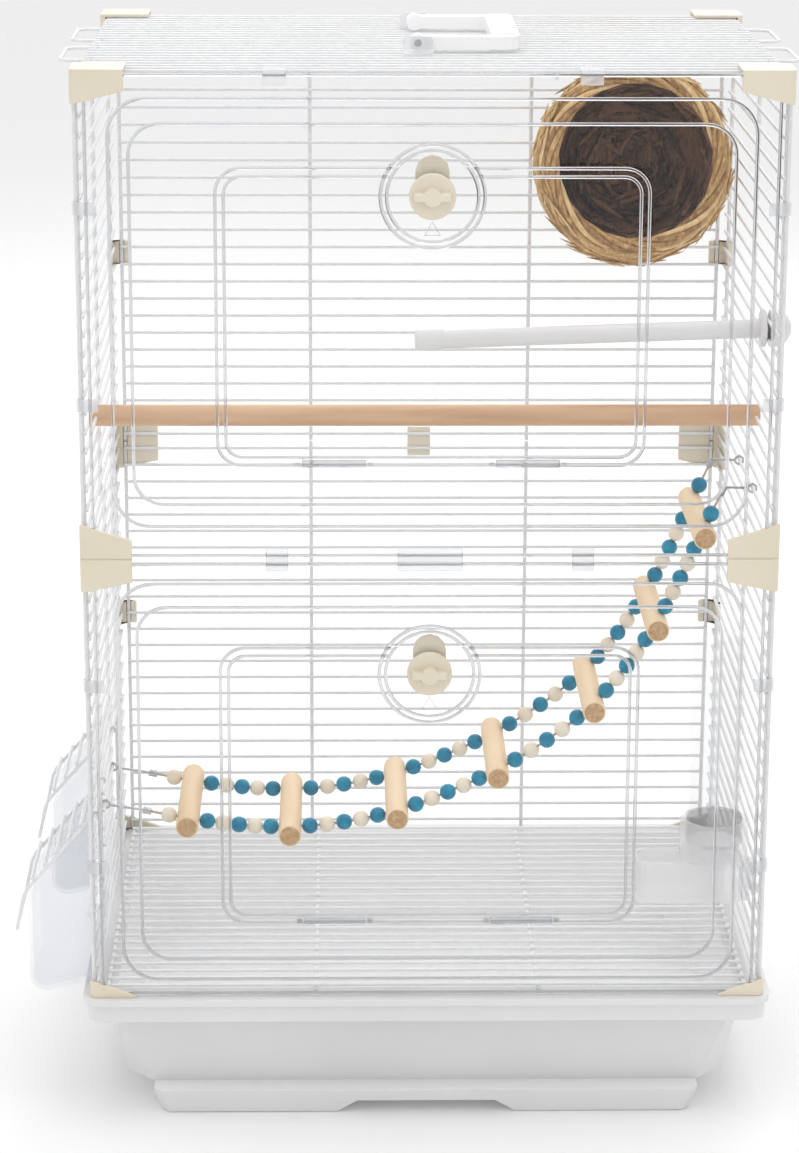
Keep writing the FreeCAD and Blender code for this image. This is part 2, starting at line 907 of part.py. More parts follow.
def door(door_low):
    door_high = door_low + door_h
    half = door_w / 2
    sheet = front_rectangle(half, door_low, door_high, door_round, panel_front, panel_back)
    outer_rim = (half, door_low, door_high, door_round)
    inner_rim = (half - rim_w, door_low + rim_w, door_high - rim_w, door_round - rim_w)
    ring_front = panel_front - ridge_h
    inside_ring = front_disc(latch_z(door_low), latch_ring_r, ring_front, panel_front, latch_ring_sides)
    lines = front_band(outer_rim, inner_rim, panel_front, ridge_h).cut(inside_ring)
    for x_low, x_high in hinge_stations():
        clear = hinge_ear_w + 2 * hinge_side_gap
        notch_z = (door_low, hinge_z(door_low) + 2 * hinge_ear_r)
        lines = lines.cut(box((x_low - clear, x_high + clear), (panel_front - ridge_h, panel_front), notch_z))
    ring = latch_ring(door_low).common(sheet_front(door_low))
    boss_z = door_low + catch_boss_rise
    boss = front_disc(boss_z, catch_boss_r, panel_front - ridge_h, panel_front, round_sides)
    whole = sheet.fuse([lines, ring, boss, latch_mark(door_low)])
    hole_d = 2 * (knob_shaft_r + running_gap)
    hole = front_disc(latch_z(door_low), hole_d / 2, panel_front - ridge_h, panel_back, round_sides)
    return whole.cut(hole).fuse(door_knuckles(door_low)).removeSplitter()


def sheet_front(door_low):
    """The thin layer in front of a door in which its raised lines lie."""
    return box((-door_w / 2, door_w / 2), (panel_front - ridge_h, panel_front), (door_low, door_low + door_h))


def latch_mark(door_low):
    """A plain raised triangle under the knob, which shows where the latch points when open."""
    top = latch_z(door_low) - knob_r - knob_edge
    half = latch_mark_w / 2
    front = panel_front - ridge_h / 2
    outer = [V(0, front, top), V(half, front, top - latch_mark_h), V(-half, front, top - latch_mark_h)]
    centre = (outer[0] + outer[1] + outer[2]) * (1 / 3)
    shrink = 1 - 3 * latch_mark_line / latch_mark_h
    inner = [centre + (point - centre) * shrink for point in outer]
    way = V(0, ridge_h / 2, 0)
    return prism(outer, way).cut(prism(inner, way))


def door_knuckles(door_low):
    """The door's two hinge barrels, each with a pin at both ends."""
    z = hinge_z(door_low)
    up = V(0, 0, 1)
    pin_over = hinge_side_gap + hinge_ear_w
    knuckles = []
    for x_low, x_high in hinge_stations():
        left = V(x_low, hinge_y, z)
        right = V(x_high, hinge_y, z)
        over = V(pin_over, 0, 0)
        knuckles.append(many_sided(left, right, 2 * hinge_r, up, small_sides))
        knuckles.append(box((x_low, x_high), (hinge_y, panel_front), (z, z + hinge_r)))
        pin_d = 2 * hinge_pin_r * math.cos(math.pi / small_sides)
        knuckles.append(many_sided(left - over, right + over, pin_d, up, small_sides))
    return knuckles


def knob(door_low):
    """The turning knob: a disc in front of the door, a grip bar on it and a shaft through the door."""
    z = latch_z(door_low)
    disc_back = panel_front - knob_gap
    disc_front = disc_back - knob_t
    rings = ((disc_back, knob_r), (disc_front + knob_edge, knob_r), (disc_front, knob_r - knob_edge))
    out = V(0, -1, 0)
    disc = through([polygon_at(V(0, y, z), out, V(0, 0, 1), r, disc_sides) for y, r in rings])
    bar_front = disc_front - grip_out
    grip = box((-grip_w / 2, grip_w / 2), (bar_front, disc_front), (z - grip_h / 2, z + grip_h / 2))
    outer_edges = [edge for edge in grip.Edges if edge.BoundBox.YMax < disc_front - knob_edge]
    grip = grip.makeChamfer(knob_edge, outer_edges)
    boss = front_disc(z, grip_boss_r, bar_front, disc_front, round_sides)
    shaft_r = knob_shaft_r * math.cos(math.pi / round_sides)
    shaft = front_disc(z, shaft_r, disc_back, panel_back + tongue_gap, round_sides)
    return fused([disc, grip, boss, shaft])


def latch_tongue(door_low):
    """The tongue behind the door, whose round end hooks behind the panel above."""
    z = latch_z(door_low)
    front = panel_back + tongue_gap
    top = z + tongue_reach
    corners = [
        V(-tongue_half_w, front, z - tongue_tail),
        V(tongue_half_w, front, z - tongue_tail),
        V(tongue_half_w, front, top),
        V(-tongue_half_w, front, top),
    ]
    radii = [tongue_foot_r, tongue_foot_r, tongue_half_w, tongue_half_w]
    return rounded_face(corners, radii).extrude(V(0, tongue_t, 0))


def clip_positions():
    """Centre and width of the clips along the panels' edges."""
    return ((-panel_clip_x, small_clip_w), (0.0, centre_clip_w), (panel_clip_x, small_clip_w))


def panel_seam_clips():
    clips = []
    half_h = panel_clip_h / 2
    for x, width in clip_positions():
        half = width / 2
        clips.append(
            front_plate(x, half, seam_z - half_h, seam_z + half_h, panel_front - panel_clip_t)
        )
    return Part.makeCompound(clips)


def front_plate(x, half, low, high, front):
    plate = box((x - half, x + half), (front, panel_front), (low, high))
    front_edges = [edge for edge in plate.Edges if edge.BoundBox.YMax < front + panel_clip_t / 2]
    return plate.makeChamfer(panel_clip_t / 2, front_edges)


def panel_top_clips():
    """Clear hooks over the front roof bar: small ones at the sides."""
    clips = []
    top = upper_panel_span[1] + fit_gap
    for x in (-panel_clip_x, panel_clip_x):
        half = small_clip_w / 2
        across = (x - half, x + half)
        front = panel_front - panel_clip_t
        lid = box(across, (front, roof_ys[0] + bar_d), (top, top + panel_clip_t))
        lip = box(across, (front, panel_front), (top - panel_clip_h / 2, top))
        clips.append(fused([lid, lip]))
    return Part.makeCompound(clips)


def panel_edge_clips():
    """Small clear clips that hold each panel's side edges to the wall's front upright."""
    clips = []
    hole_r = upright_d / 2 + fit_gap
    ring_r = hole_r + edge_clip_wall
    for side in (-1, 1):
        for storey, row in edge_clip_rows:
            bar = upper_row(row) if storey == "upper" else lower_row(row)
            middle = bar - bar_pitch / 2
            levels = (middle - edge_clip_h / 2, middle + edge_clip_h / 2)
            post_x = side * upright_x
            x, y = post_x, front_post_y
            ring = box((x - ring_r, x + ring_r), (y - ring_r, y + ring_r), levels)
            hole = box((x - hole_r, x + hole_r), (y - hole_r, y + hole_r), levels)
            arm = box((post_x, post_x - side * edge_clip_arm), (panel_back, front_post_y - hole_r), levels)
            clips.append(fused([ring, arm]).cut(hole))
    return Part.makeCompound(clips)


# Carry handle

handle_z = roof_z + bar_d / 2 + handle_seat_gap + handle_grip_t / 2


def carry_handle():
    """A bail lying flat on the roof: two arms, a thicker grip and a boss round each pivot."""
    end_x = handle_pivot_x + handle_reach
    half = handle_span / 2
    low = handle_z - handle_arm_t / 2
    ends = ((handle_pivot_x, -half), (end_x, -half), (end_x, half), (handle_pivot_x, half))
    outer = [V(x, y, low) for x, y in ends]
    inner_x = end_x - handle_grip_w
    inner_half = half - handle_arm_w
    inner = [
        V(handle_pivot_x - handle_boss_r, -inner_half, low),
        V(inner_x, -inner_half, low),
        V(inner_x, inner_half, low),
        V(handle_pivot_x - handle_boss_r, inner_half, low),
    ]
    up = V(0, 0, handle_arm_t)
    outer_face = rounded_face(outer, [0, handle_round, handle_round, 0])
    inner_face = rounded_face(inner, [0, handle_edge, handle_edge, 0])
    bail = outer_face.extrude(up).cut(inner_face.extrude(up))
    grip_low = handle_z - handle_grip_t / 2
    grip = box((inner_x, end_x), (-inner_half, inner_half), (grip_low, grip_low + handle_grip_t))
    long_edges = [edge for edge in grip.Edges if edge.BoundBox.YLength > inner_half]
    grip = grip.makeChamfer(handle_edge, long_edges)
    bosses = []
    bores = []
    for end in (-1, 1):
        start = V(handle_pivot_x, end * half, handle_z)
        inward = V(0, -end, 0)
        up_way = V(0, 0, 1)
        end = start + inward * handle_arm_w
        bosses.append(many_sided(start, end, 2 * handle_boss_r, up_way, round_sides))
        bore_end = start + inward * (handle_pin_l + running_gap)
        bores.append(many_sided(start, bore_end, 2 * (handle_pin_r + running_gap), up_way, round_sides))
    return fused([bail, grip] + bosses).cut(bores)


def handle_brackets():
    """Clear brackets clipped on the roof bars, with the pins that the handle turns on."""
    half = handle_span / 2
    plate_low = roof_z + bar_d / 2
    brackets = []
    for end in (-1, 1):
        near = end * (half + bracket_gap)
        far = near + end * bracket_ear_t
        out = far + end * bracket_plate_l
        x = (handle_pivot_x - bracket_w / 2, handle_pivot_x + bracket_w / 2)
        plate = box(x, (near, out), (plate_low, plate_low + bracket_plate_t))
        ear = box(x, (near, far), (plate_low, handle_z))
        up_way = V(0, 0, 1)
        pivot = V(handle_pivot_x, near, handle_z)
        head = many_sided(pivot, V(handle_pivot_x, far, handle_z), bracket_w, up_way, round_sides)
        head = head.common(box(x, (near, far), (plate_low, handle_z + handle_boss_r)))
        pin_d = 2 * handle_pin_r * math.cos(math.pi / round_sides)
        pin_end = pivot - V(0, end * (handle_pin_l + bracket_gap), 0)
        pin = many_sided(pivot, pin_end, pin_d, up_way, round_sides)
        brackets.append(fused([plate, ear, head, pin]))
    return Part.makeCompound(brackets)


# Perches

def wood_perch():
    y = depth_y(wood_perch_depth)
    z = upper_row(wood_perch_row)
    end = bar_x + wood_perch_past
    perch = many_sided(V(-end, y, z), V(end, y, z), wood_perch_d, V(0, 0, 1), rung_sides)
    slot_low = bar_x - bar_d / 2 - fit_gap
    slot_half = bar_d / 2 + fit_gap
    for side in (-1, 1):
        along = (side * slot_low, side * (end + cut_over))
        across = (y - wood_perch_d, y + wood_perch_d)
        perch = perch.cut(box(along, across, (z - slot_half, z + slot_half)))
    return perch


def plastic_perch():
    """A one-ended perch: a drooping rod with a thicker tip, a flange at the wall and a stud through it."""
    y = depth_y(plastic_perch_depth)
    z = upper_row(plastic_perch_gap_row) - bar_pitch / 2
    wall = bar_x - bar_d / 2
    inside = wall - perch_flange_t
    up = V(0, 0, 1)
    flange = many_sided(V(inside, y, z), V(wall, y, z), perch_flange_d, up, round_sides)
    stud_d = perch_stud_d * math.cos(math.pi / round_sides)
    stud = many_sided(V(wall, y, z), V(wall + bar_d + perch_stud_l, y, z), stud_d, up, round_sides)
    root = V(inside + perch_flange_t / 2, y, z)
    out = V(-1, 0, 0)
    neck = plastic_perch_l - plastic_perch_tip_l
    bevel = plastic_perch_tip_d / 8
    rings = (
        (0.0, plastic_perch_d / 2),
        (neck, plastic_perch_d / 2),
        (neck + bevel, plastic_perch_tip_d / 2),
        (plastic_perch_l - bevel, plastic_perch_tip_d / 2),
        (plastic_perch_l, plastic_perch_tip_d / 2 - bevel),
    )
    shaft = through([polygon_at(root + out * at, out, up, r, round_sides) for at, r in rings])
    return fused([flange, stud, turned(shaft, root, V(0, 1, 0), -plastic_perch_droop)])


def perch_nut():
    """The domed wing nut outside the wall."""
    y = depth_y(plastic_perch_depth)
    z = upper_row(plastic_perch_gap_row) - bar_pitch / 2
    wall = bar_x + bar_d / 2
    up = V(0, 0, 1)
    out = V(1, 0, 0)
    rings = (
        (0.0, perch_nut_d / 2),
        (perch_nut_t / 2, perch_nut_d / 2),
        (perch_nut_t * 0.85, perch_nut_d / 3),
        (perch_nut_t, perch_nut_d / 6),
    )
    nut = through([polygon_at(V(wall + at, y, z), out, up, r, round_sides) for at, r in rings])
    bore_d = perch_stud_d + 2 * running_gap
    bore_end = V(wall + perch_stud_l + running_gap, y, z)
    return nut.cut(many_sided(V(wall, y, z), bore_end, bore_d, up, round_sides))


# Nest

nest_front = V(bar_x - nest_from_side, bar_y - nest_from_back, top_z - nest_drop)


def nest():
    """A round-bellied bowl turned about its axis, open at the mouth, then tipped up."""
    stations = (
        (0.0, nest_rim_r),
        (nest_shoulder_at, nest_shoulder_r),
        (nest_belly_at, nest_belly_r),
        (nest_hip_at, nest_hip_r),
        (nest_depth, nest_back_r),
    )
    inner_stations = (
        (0.0, nest_mouth_r),
        (nest_shoulder_at, nest_shoulder_r - nest_wall),
        (nest_belly_at, nest_belly_r - nest_wall),
        (nest_hip_at, nest_hip_r - nest_wall),
        (nest_depth - nest_wall, nest_back_r - nest_wall / 2),
    )
    back = V(0, 1, 0)
    forms = []
    for rings in (stations, inner_stations):
        forms.append(through([polygon_at(back * at, back, V(0, 0, 1), r, nest_sides) for at, r in rings]))
    bowl = forms[0].cut(forms[1])
    bowl.rotate(V(0, 0, 0), V(1, 0, 0), -nest_tilt)
    bowl.translate(nest_front)
    return bowl


def nest_hooks():
    """Wire hooks that end square on the nest's back and hang on a bar of the back wall."""
    z = upper_row(nest_hook_row)
    tilt = math.radians(nest_tilt)
    axis = V(0, math.cos(tilt), -math.sin(tilt))
    back = nest_front + axis * nest_depth
    half_wire = nest_hook_d / 2
    outer_r = nest_hook_ring_r + half_wire
    inner_r = nest_hook_ring_r - half_wire
    slack = inner_r - bar_point - fit_gap
    hooks = []
    for side in (-1, 1):
        x = back.x + side * nest_hook_spread
        ring_centre = V(x, bar_y - slack, z)
        ring = eye(ring_centre, V(1, 0, 0), V(0, 1, 0), outer_r, inner_r, nest_hook_d)
        top = ring_centre - V(0, nest_hook_ring_r, 0)
        root = V(x, back.y, back.z)
        bend = root + axis * ((top.y - root.y) / axis.y)
        hooks.append(fused([ring, bent_wire([top, bend, root], nest_hook_d, V(1, 0, 0))]))
    return Part.makeCompound(hooks)


# Bead ladder

def string_edges(y):
    """The path of one string: straight runs joined by the largest arcs that their lengths allow."""
    points = [V(x, y, z) for x, z in string_points]
    radii = [0.0]
    for before, corner, after in zip(points, points[1:], points[2:]):
        run = min((corner - before).Length, (after - corner).Length)
        turn = math.pi - (before - corner).getAngle(after - corner)
        radii.append(string_bend_share * run / math.tan(turn / 2))
    radii.append(0.0)
    return rounded_edges(points, radii), radii[1:-1]


def path_place(edges, distance):
    """Point and direction at a distance along a path."""
    for edge in edges:
        if distance <= edge.Length:
            at = edge.getParameterByLength(distance)
            return edge.valueAt(at), edge.tangentAt(at)
        distance -= edge.Length
    last = edges[-1]
    return last.valueAt(last.LastParameter), last.tangentAt(last.LastParameter)


def rung_distances(edges):
    """How far along the string each rung sits: the middle of the arc at its point."""
    distances = []
    run = 0.0
    arc_number = 0
    for edge in edges:
        if isinstance(edge.Curve, Part.Circle):
            arc_number += 1
            if arc_number in rung_points:
                distances.append(run + edge.Length / 2)
        run += edge.Length
    return distances


def bead(centre, way):
    """A wooden bead: a ball with flat faces at both ends of its hole."""
    across = V(0, 1, 0)
    rings = ((-bead_face_at, bead_face_r), (0.0, bead_d / 2), (bead_face_at, bead_face_r))
    body = through([polygon_at(centre + way * at, way, across, r, bead_sides) for at, r in rings])
    hole_d = string_d + 2 * string_hole_gap
    hole = many_sided(centre - way * bead_d, centre + way * bead_d, hole_d, across, hole_sides)
    return body.cut(hole)


def bead_places(edges):
    """Distances of the blue and of the natural beads along a string: each bay starts and ends with blue."""
    rungs = rung_distances(edges)
    blue = []
    natural = [rungs[0] - (rung_d + bead_d) / 2 - bead_play]
    for start, end in zip(rungs, rungs[1:]):
        step = (end - start - rung_d) / beads_per_bay
        for number in range(beads_per_bay):
            place = start + rung_d / 2 + (number + 0.5) * step
            (natural if number % 2 else blue).append(place)
    blue.append(rungs[-1] + (rung_d + bead_d) / 2 + bead_play)
    return blue, natural


def ladder_beads(kind):
    beads = []
    for y in strings_y:
        edges, _ = string_edges(y)
        for distance in bead_places(edges)[kind]:
            beads.append(bead(*path_place(edges, distance)))
    return Part.makeCompound(beads)


def ladder_rungs():
    front = strings_y[0] - rung_front_over
    rear = strings_y[1] + rung_rear_over
    edges, _ = string_edges(strings_y[0])
    hole_d = string_d + 2 * string_hole_gap
    across = V(0, 1, 0)
    rungs = []
    for distance in rung_distances(edges):
        centre, way = path_place(edges, distance)
        start = V(centre.x, front, centre.z)
        dowel = many_sided(start, V(centre.x, rear, centre.z), rung_d, way, rung_sides)
        for y in strings_y:
            middle = V(centre.x, y, centre.z)
            hole = many_sided(middle - way * rung_d, middle + way * rung_d, hole_d, across, hole_sides)
            dowel = dowel.cut(hole)
        rungs.append(dowel)
    return Part.makeCompound(rungs)


def string_section(edges):
    """The closed outline of a string's section at its start."""
    start, way = path_place(edges, 0.0)
    corners = polygon_at(start, way, V(0, 1, 0), string_d / 2, string_sides)
    return corners + corners[:1]


def ladder_string(y):
    edges, radii = string_edges(y)
    string = tube_along(edges, string_d, V(0, 1, 0))
    length = sum(edge.Length for edge in edges)
    section = Part.Face(Part.makePolygon(string_section(edges)))
    expected = section.Area * length
    print("string at y %.1f: length %.1f, volume %.2f of %.2f" % (y, length, string.Volume, expected))
    print("  bend radii " + ", ".join("%.0f" % radius for radius in radii))
    return string


def ladder_hooks():
    """Steel hooks at both ends of each string: a crimp, a shank and a ring round a wall bar."""
    ends = (
        (string_points[0], string_points[1], V(-bar_x, 0, lower_row(left_hook_row))),
        (string_points[-1], string_points[-2], V(bar_x, 0, upper_row(right_hook_row))),
    )
    slack = hook_ring_r - hook_wire_d / 2 - bar_point - fit_gap
    across = V(0, 1, 0)
    half_wire = hook_wire_d / 2
    hooks = []
    for y in strings_y:
        for (x, z), (inner_x, inner_z), bar in ends:
            start = V(x, y, z)
            crimp_end = start + V(x - inner_x, 0, z - inner_z).normalize() * hook_crimp_l
            bar_at = V(bar.x, y, bar.z)
            way = (bar_at - crimp_end).normalize()
            ring_centre = bar_at - way * slack
            outer_r = hook_ring_r + half_wire
            ring = eye(ring_centre, across, way, outer_r, outer_r - hook_wire_d, hook_wire_d)
            crimp = wire(start, crimp_end, hook_crimp_d, across)
            shank = wire(crimp_end - way * half_wire, ring_centre - way * hook_ring_r, hook_wire_d, across)
            hooks.append(fused([crimp, shank, ring]))
    return Part.makeCompound(hooks)


# Feeders and their flaps

feeder_wall_x = -(half_w + feeder_wall_gap)
feeder_face_x = feeder_wall_x - feeder_out
flap_hinge = V(-bar_x, 0, lower_row(feeder_flap_row))
flap_way = V(-math.cos(math.radians(flap_slope)), 0, -math.sin(math.radians(flap_slope)))


def hood_z(x, below):
    """Height of the sloping hood at x, that far below the resting flap's wires, square to the slope."""
    slope = math.tan(math.radians(flap_slope))
    drop = (bar_d / 2 + below) / math.cos(math.radians(flap_slope))
    return flap_hinge.z - (flap_hinge.x - x) * slope - drop


def feeder(y):
    """A clear cup under a sloping hood, open towards the cage above its sill, hung on the sill's bar."""
    sill_z = lower_row(feeder_sill_row)
    floor_z = sill_z - feeder_floor_drop
    half = feeder_w / 2
    outer = [
        V(feeder_wall_x, -half, floor_z),
        V(feeder_wall_x - feeder_belly, -half, floor_z - feeder_floor_step),
        V(feeder_face_x, -half, floor_z - feeder_floor_step),
        V(feeder_face_x, -half, hood_z(feeder_face_x, flap_rest_gap)),
        V(feeder_wall_x, -half, hood_z(feeder_wall_x, flap_rest_gap)),
    ]
    wall = feeder_wall
    inner_half = half - wall
    inner_low = floor_z - feeder_floor_step + wall
    inner = [
        V(feeder_wall_x - wall, -inner_half, floor_z + wall),
        V(feeder_wall_x - feeder_belly, -inner_half, inner_low),
        V(feeder_face_x + wall, -inner_half, inner_low),
        V(feeder_face_x + wall, -inner_half, hood_z(feeder_face_x + wall, flap_rest_gap + wall)),
        V(feeder_wall_x - wall, -inner_half, hood_z(feeder_wall_x - wall, flap_rest_gap + wall)),
    ]
    corner_radii = [0, feeder_round, feeder_round, feeder_wall, 0]
    inner_radii = [0, feeder_round, feeder_round - wall, 0, 0]
    shell = rounded_face(outer, corner_radii).extrude(V(0, feeder_w, 0))
    hollow = rounded_face(inner, inner_radii).extrude(V(0, 2 * inner_half, 0))
    port_low = sill_z + feeder_port_rise
    port_high = hood_z(feeder_wall_x, flap_rest_gap + wall) - feeder_port_margin
    through_wall = (feeder_wall_x - 2 * wall, feeder_wall_x + wall)
    port = box(through_wall, (-inner_half, inner_half), (port_low, port_high))
    hook_low = sill_z + bar_d / 2 + fit_gap
    lip_x = -(bar_x - bar_d / 2 - fit_gap)
    arm = box(
        (feeder_wall_x - wall / 2, lip_x + feeder_hook_t),
        (-feeder_hook_half, feeder_hook_half),
        (hook_low, hook_low + feeder_hook_t),
    )
    lip = box(
        (lip_x, lip_x + feeder_hook_t),
        (-feeder_hook_half, feeder_hook_half),
        (hook_low - feeder_hook_drop, hook_low + feeder_hook_t),
    )
    cup = shell.cut([hollow, port]).fuse([arm, lip]).removeSplitter()
    cup.translate(V(0, y, 0))
    return cup


def feeder_flap(y):
    """A wire flap hinged on a wall bar, lying on the feeder's hood, with its end bent down in front."""
    lip_slope = math.radians(flap_lip_slope)
    lip_way = V(-math.cos(lip_slope), 0, -math.sin(lip_slope))
    ends = []
    for side in (-flap_half, flap_half):
        root = V(flap_hinge.x, side, flap_hinge.z) + flap_way * (flap_ring_r - bar_d / 4)
        bend = V(flap_hinge.x, side, flap_hinge.z) + flap_way * flap_run
        ends.append((root, bend, bend + lip_way * flap_lip))
    (root, bend, tip), (far_root, far_bend, far_tip) = ends
    points = [root, bend, tip, far_tip, far_bend, far_root]
    cuts = (flap_bend / 2, flap_corner / 2, flap_corner / 2, flap_bend / 2)
    lift = V(flap_way.z, 0, -flap_way.x) * bar_d
    frame = bent_wire(softened(points, cuts), bar_d, lift)
    across = V(0, 1, 0)
    bore_r = bar_d / 2 + running_gap
    rings = []
    for side in (-flap_half, flap_half):
        centre = V(flap_hinge.x, side, flap_hinge.z)
        rings.append(eye(centre, across, flap_way, flap_ring_r, bore_r, flap_ring_w))
    wires = [fused([frame] + rings)]
    count = int((flap_run - flap_bend) / bar_pitch)
    for number in range(1, count + 1):
        middle = flap_hinge + flap_way * (number * bar_pitch) + lift
        over = V(0, flap_half + bar_d / 2, 0)
        wires.append(wire(middle - over, middle + over, bar_d, lift))
    flap = Part.makeCompound(wires)
    flap.translate(V(0, y, 0))
    return flap


# Water dispenser

water_x = bar_x - water_from_side
water_y = depth_y(water_depth)
trough_low = lower_row(bracket_hook_row) - trough_below_row
trough_top = trough_low + trough_h
bottle_low = trough_top + bottle_seat


def water_bottle():
    forms = []
    for inset in (0.0, bottle_wall):
        radius = bottle_r - inset
        top = bottle_h - inset
        rings = (
            (0.0, radius),
            (top - bottle_shoulder, radius),
            (top - bottle_shoulder / 3, radius - bottle_shoulder / 4),
            (top, radius - bottle_shoulder),
        )
        forms.append(through([water_ring(bottle_low + at, r) for at, r in rings]))
    return forms[0].cut(forms[1])


def water_ring(z, radius):
    return polygon_at(V(water_x, water_y, z), V(0, 0, 1), V(1, 0, 0), radius, water_sides)


def water_collar():
    """The cap that the bottle stands in, upside down, with a spout hole into the trough."""
    top = trough_top + collar_h
    bevel = bottle_wall
    rings = ((trough_top, collar_r), (top - bevel, collar_r), (top, collar_r - bevel))
    collar = through([water_ring(z, r) for z, r in rings])
    socket = through([water_ring(z, bottle_r + running_gap) for z in (bottle_low, top)])
    floor = trough_top + collar_floor
    cup = through([water_ring(floor, bottle_r - bottle_wall), water_ring(bottle_low, bottle_r - bottle_wall)])
    spout = through([water_ring(trough_top, collar_spout_r), water_ring(floor, collar_spout_r)])
    return collar.cut([socket, cup, spout])


def water_trough():
    x = (water_x - trough_left, water_x + trough_right)
    y = (water_y - trough_half, water_y + trough_half)
    ends = ((x[0], y[0]), (x[1], y[0]), (x[1], y[1]), (x[0], y[1]))
    corners = [V(end_x, end_y, trough_low) for end_x, end_y in ends]
    body = prism(corners, V(0, 0, trough_h), trough_round)
    wall = trough_wall
    floor = trough_low + wall
    inner = [
        V(x[0] + wall, y[0] + wall, floor),
        V(x[1] - basin_back, y[0] + wall, floor),
        V(x[1] - basin_back, y[1] - wall, floor),
        V(x[0] + wall, y[1] - wall, floor),
    ]
    return body.cut(prism(inner, V(0, 0, trough_h), trough_round - wall))


def water_bracket():
    """The plate on the trough's end, with hooks over two wall bars."""
    inner = water_x + trough_right
    wall = bar_x - bar_d / 2 - fit_gap
    outer = bar_x + bar_d / 2 + fit_gap
    y = (water_y - bracket_half, water_y + bracket_half)
    plate = box((inner, wall), y, (trough_low, trough_low + bracket_h))
    pieces = [plate]
    for row in (bracket_hook_row - 1, bracket_hook_row):
        low = lower_row(row) + bar_d / 2 + fit_gap
        arm_x = (inner, outer + bracket_hook_t)
        pieces.append(box(arm_x, y, (low, low + bracket_hook_t)))
        levels = (low - bracket_hook_drop, low + bracket_hook_t)
        pieces.append(box((outer, outer + bracket_hook_t), y, levels))
    return fused(pieces)


# Every piece, under the name of its node

corners = (("front_left", -1, -1), ("front_right", 1, -1), ("rear_left", -1, 1), ("rear_right", 1, 1))

pieces = {
    "base_tray": base_tray(),
    "floor_grille": floor_grille(),
    "roof_panel": roof_panel(),
    "back_panel_upper": back_panel(upper_row_top, upper_span),
    "back_panel_lower": back_panel(lower_row_top, lower_span),
    "left_panel_upper": plain_side_panel(-1, upper_row_top, upper_span),
    "left_panel_lower": left_panel_lower(),
    "right_panel_upper": plain_side_panel(1, upper_row_top, upper_span),
    "right_panel_lower": plain_side_panel(1, lower_row_top, lower_span),
    "front_panel_upper": front_panel_upper(),
    "front_panel_lower": front_panel_lower(),
    "rear_corner_clips": rear_corner_clips(),
    "rear_seam_clip": rear_seam_clip(),
    "panel_seam_clips": panel_seam_clips(),
    "panel_top_clips": panel_top_clips(),
    "panel_edge_clips": panel_edge_clips(),
    "carry_handle": carry_handle(),
    "handle_brackets": handle_brackets(),
    "wood_perch": wood_perch(),
    "plastic_perch": plastic_perch(),
    "perch_nut": perch_nut(),
    "nest": nest(),
    "nest_hooks": nest_hooks(),
    "ladder_rungs": ladder_rungs(),
    "ladder_beads_blue": ladder_beads(0),
    "ladder_beads_natural": ladder_beads(1),
    "ladder_string_front": ladder_string(strings_y[0]),
    "ladder_string_rear": ladder_string(strings_y[1]),
    "ladder_hooks": ladder_hooks(),
    "water_bottle": water_bottle(),
    "water_collar": water_collar(),
    "water_trough": water_trough(),
    "water_bracket": water_bracket(),
}
for place, side, end in corners:
    pieces["top_cap_" + place] = top_cap(side, end)
    pieces["connector_" + place] = connector(side, end)
    pieces["bottom_wedge_" + place] = bottom_wedge(side, end)
for storey, door_low in (("upper", upper_door_low), ("lower", lower_door_low)):
    pieces[storey + "_door"] = door(door_low)
    pieces[storey + "_knob"] = knob(door_low)
    pieces[storey + "_latch_tongue"] = latch_tongue(door_low)
for place, y in zip(("near", "far"), feeder_ys):
    pieces[place + "_feeder"] = feeder(y)
    pieces[place + "_feeder_flap"] = feeder_flap(y)

os.makedirs("parts", exist_ok=True)
for name, shape in pieces.items():
    shape.exportStep("parts/" + name + ".step")
print("%d pieces" % len(pieces))
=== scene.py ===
import json
import math
import random

import bmesh
import bpy
from mathutils import Matrix, Vector


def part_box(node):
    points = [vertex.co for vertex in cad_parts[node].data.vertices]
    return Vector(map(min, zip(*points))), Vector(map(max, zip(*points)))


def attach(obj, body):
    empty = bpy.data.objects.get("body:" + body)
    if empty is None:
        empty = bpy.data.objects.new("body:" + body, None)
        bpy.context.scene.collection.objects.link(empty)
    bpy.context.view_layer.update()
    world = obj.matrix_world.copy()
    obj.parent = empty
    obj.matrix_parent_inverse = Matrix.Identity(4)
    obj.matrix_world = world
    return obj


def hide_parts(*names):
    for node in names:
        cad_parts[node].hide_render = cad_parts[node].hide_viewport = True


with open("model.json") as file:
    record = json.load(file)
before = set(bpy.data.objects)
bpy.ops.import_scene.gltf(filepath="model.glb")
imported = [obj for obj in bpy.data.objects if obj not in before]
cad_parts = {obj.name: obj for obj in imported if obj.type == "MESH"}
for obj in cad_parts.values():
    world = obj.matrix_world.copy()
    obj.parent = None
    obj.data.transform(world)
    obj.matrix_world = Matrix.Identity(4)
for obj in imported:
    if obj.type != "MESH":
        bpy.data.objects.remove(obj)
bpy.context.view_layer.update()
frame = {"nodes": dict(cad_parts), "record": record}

nodes = frame["nodes"]
chance = random.Random(7)
MM = 0.001


# Hand tools

def put_down():
    """Leaves edit mode and deselects everything."""
    if bpy.context.object and bpy.context.object.mode == "EDIT":
        bpy.ops.object.mode_set(mode="OBJECT")
    bpy.ops.object.select_all(action="DESELECT")


def pick_up(piece):
    put_down()
    piece.select_set(True)
    bpy.context.view_layer.objects.active = piece


def named(name):
    """Names the piece that a primitive has just made."""
    piece = bpy.context.active_object
    piece.name = name
    piece.data.name = name
    return piece


def start_edit(piece, mode="FACE"):
    pick_up(piece)
    bpy.ops.object.mode_set(mode="EDIT")
    bpy.ops.mesh.select_mode(type=mode)
    bpy.ops.mesh.select_all(action="DESELECT")


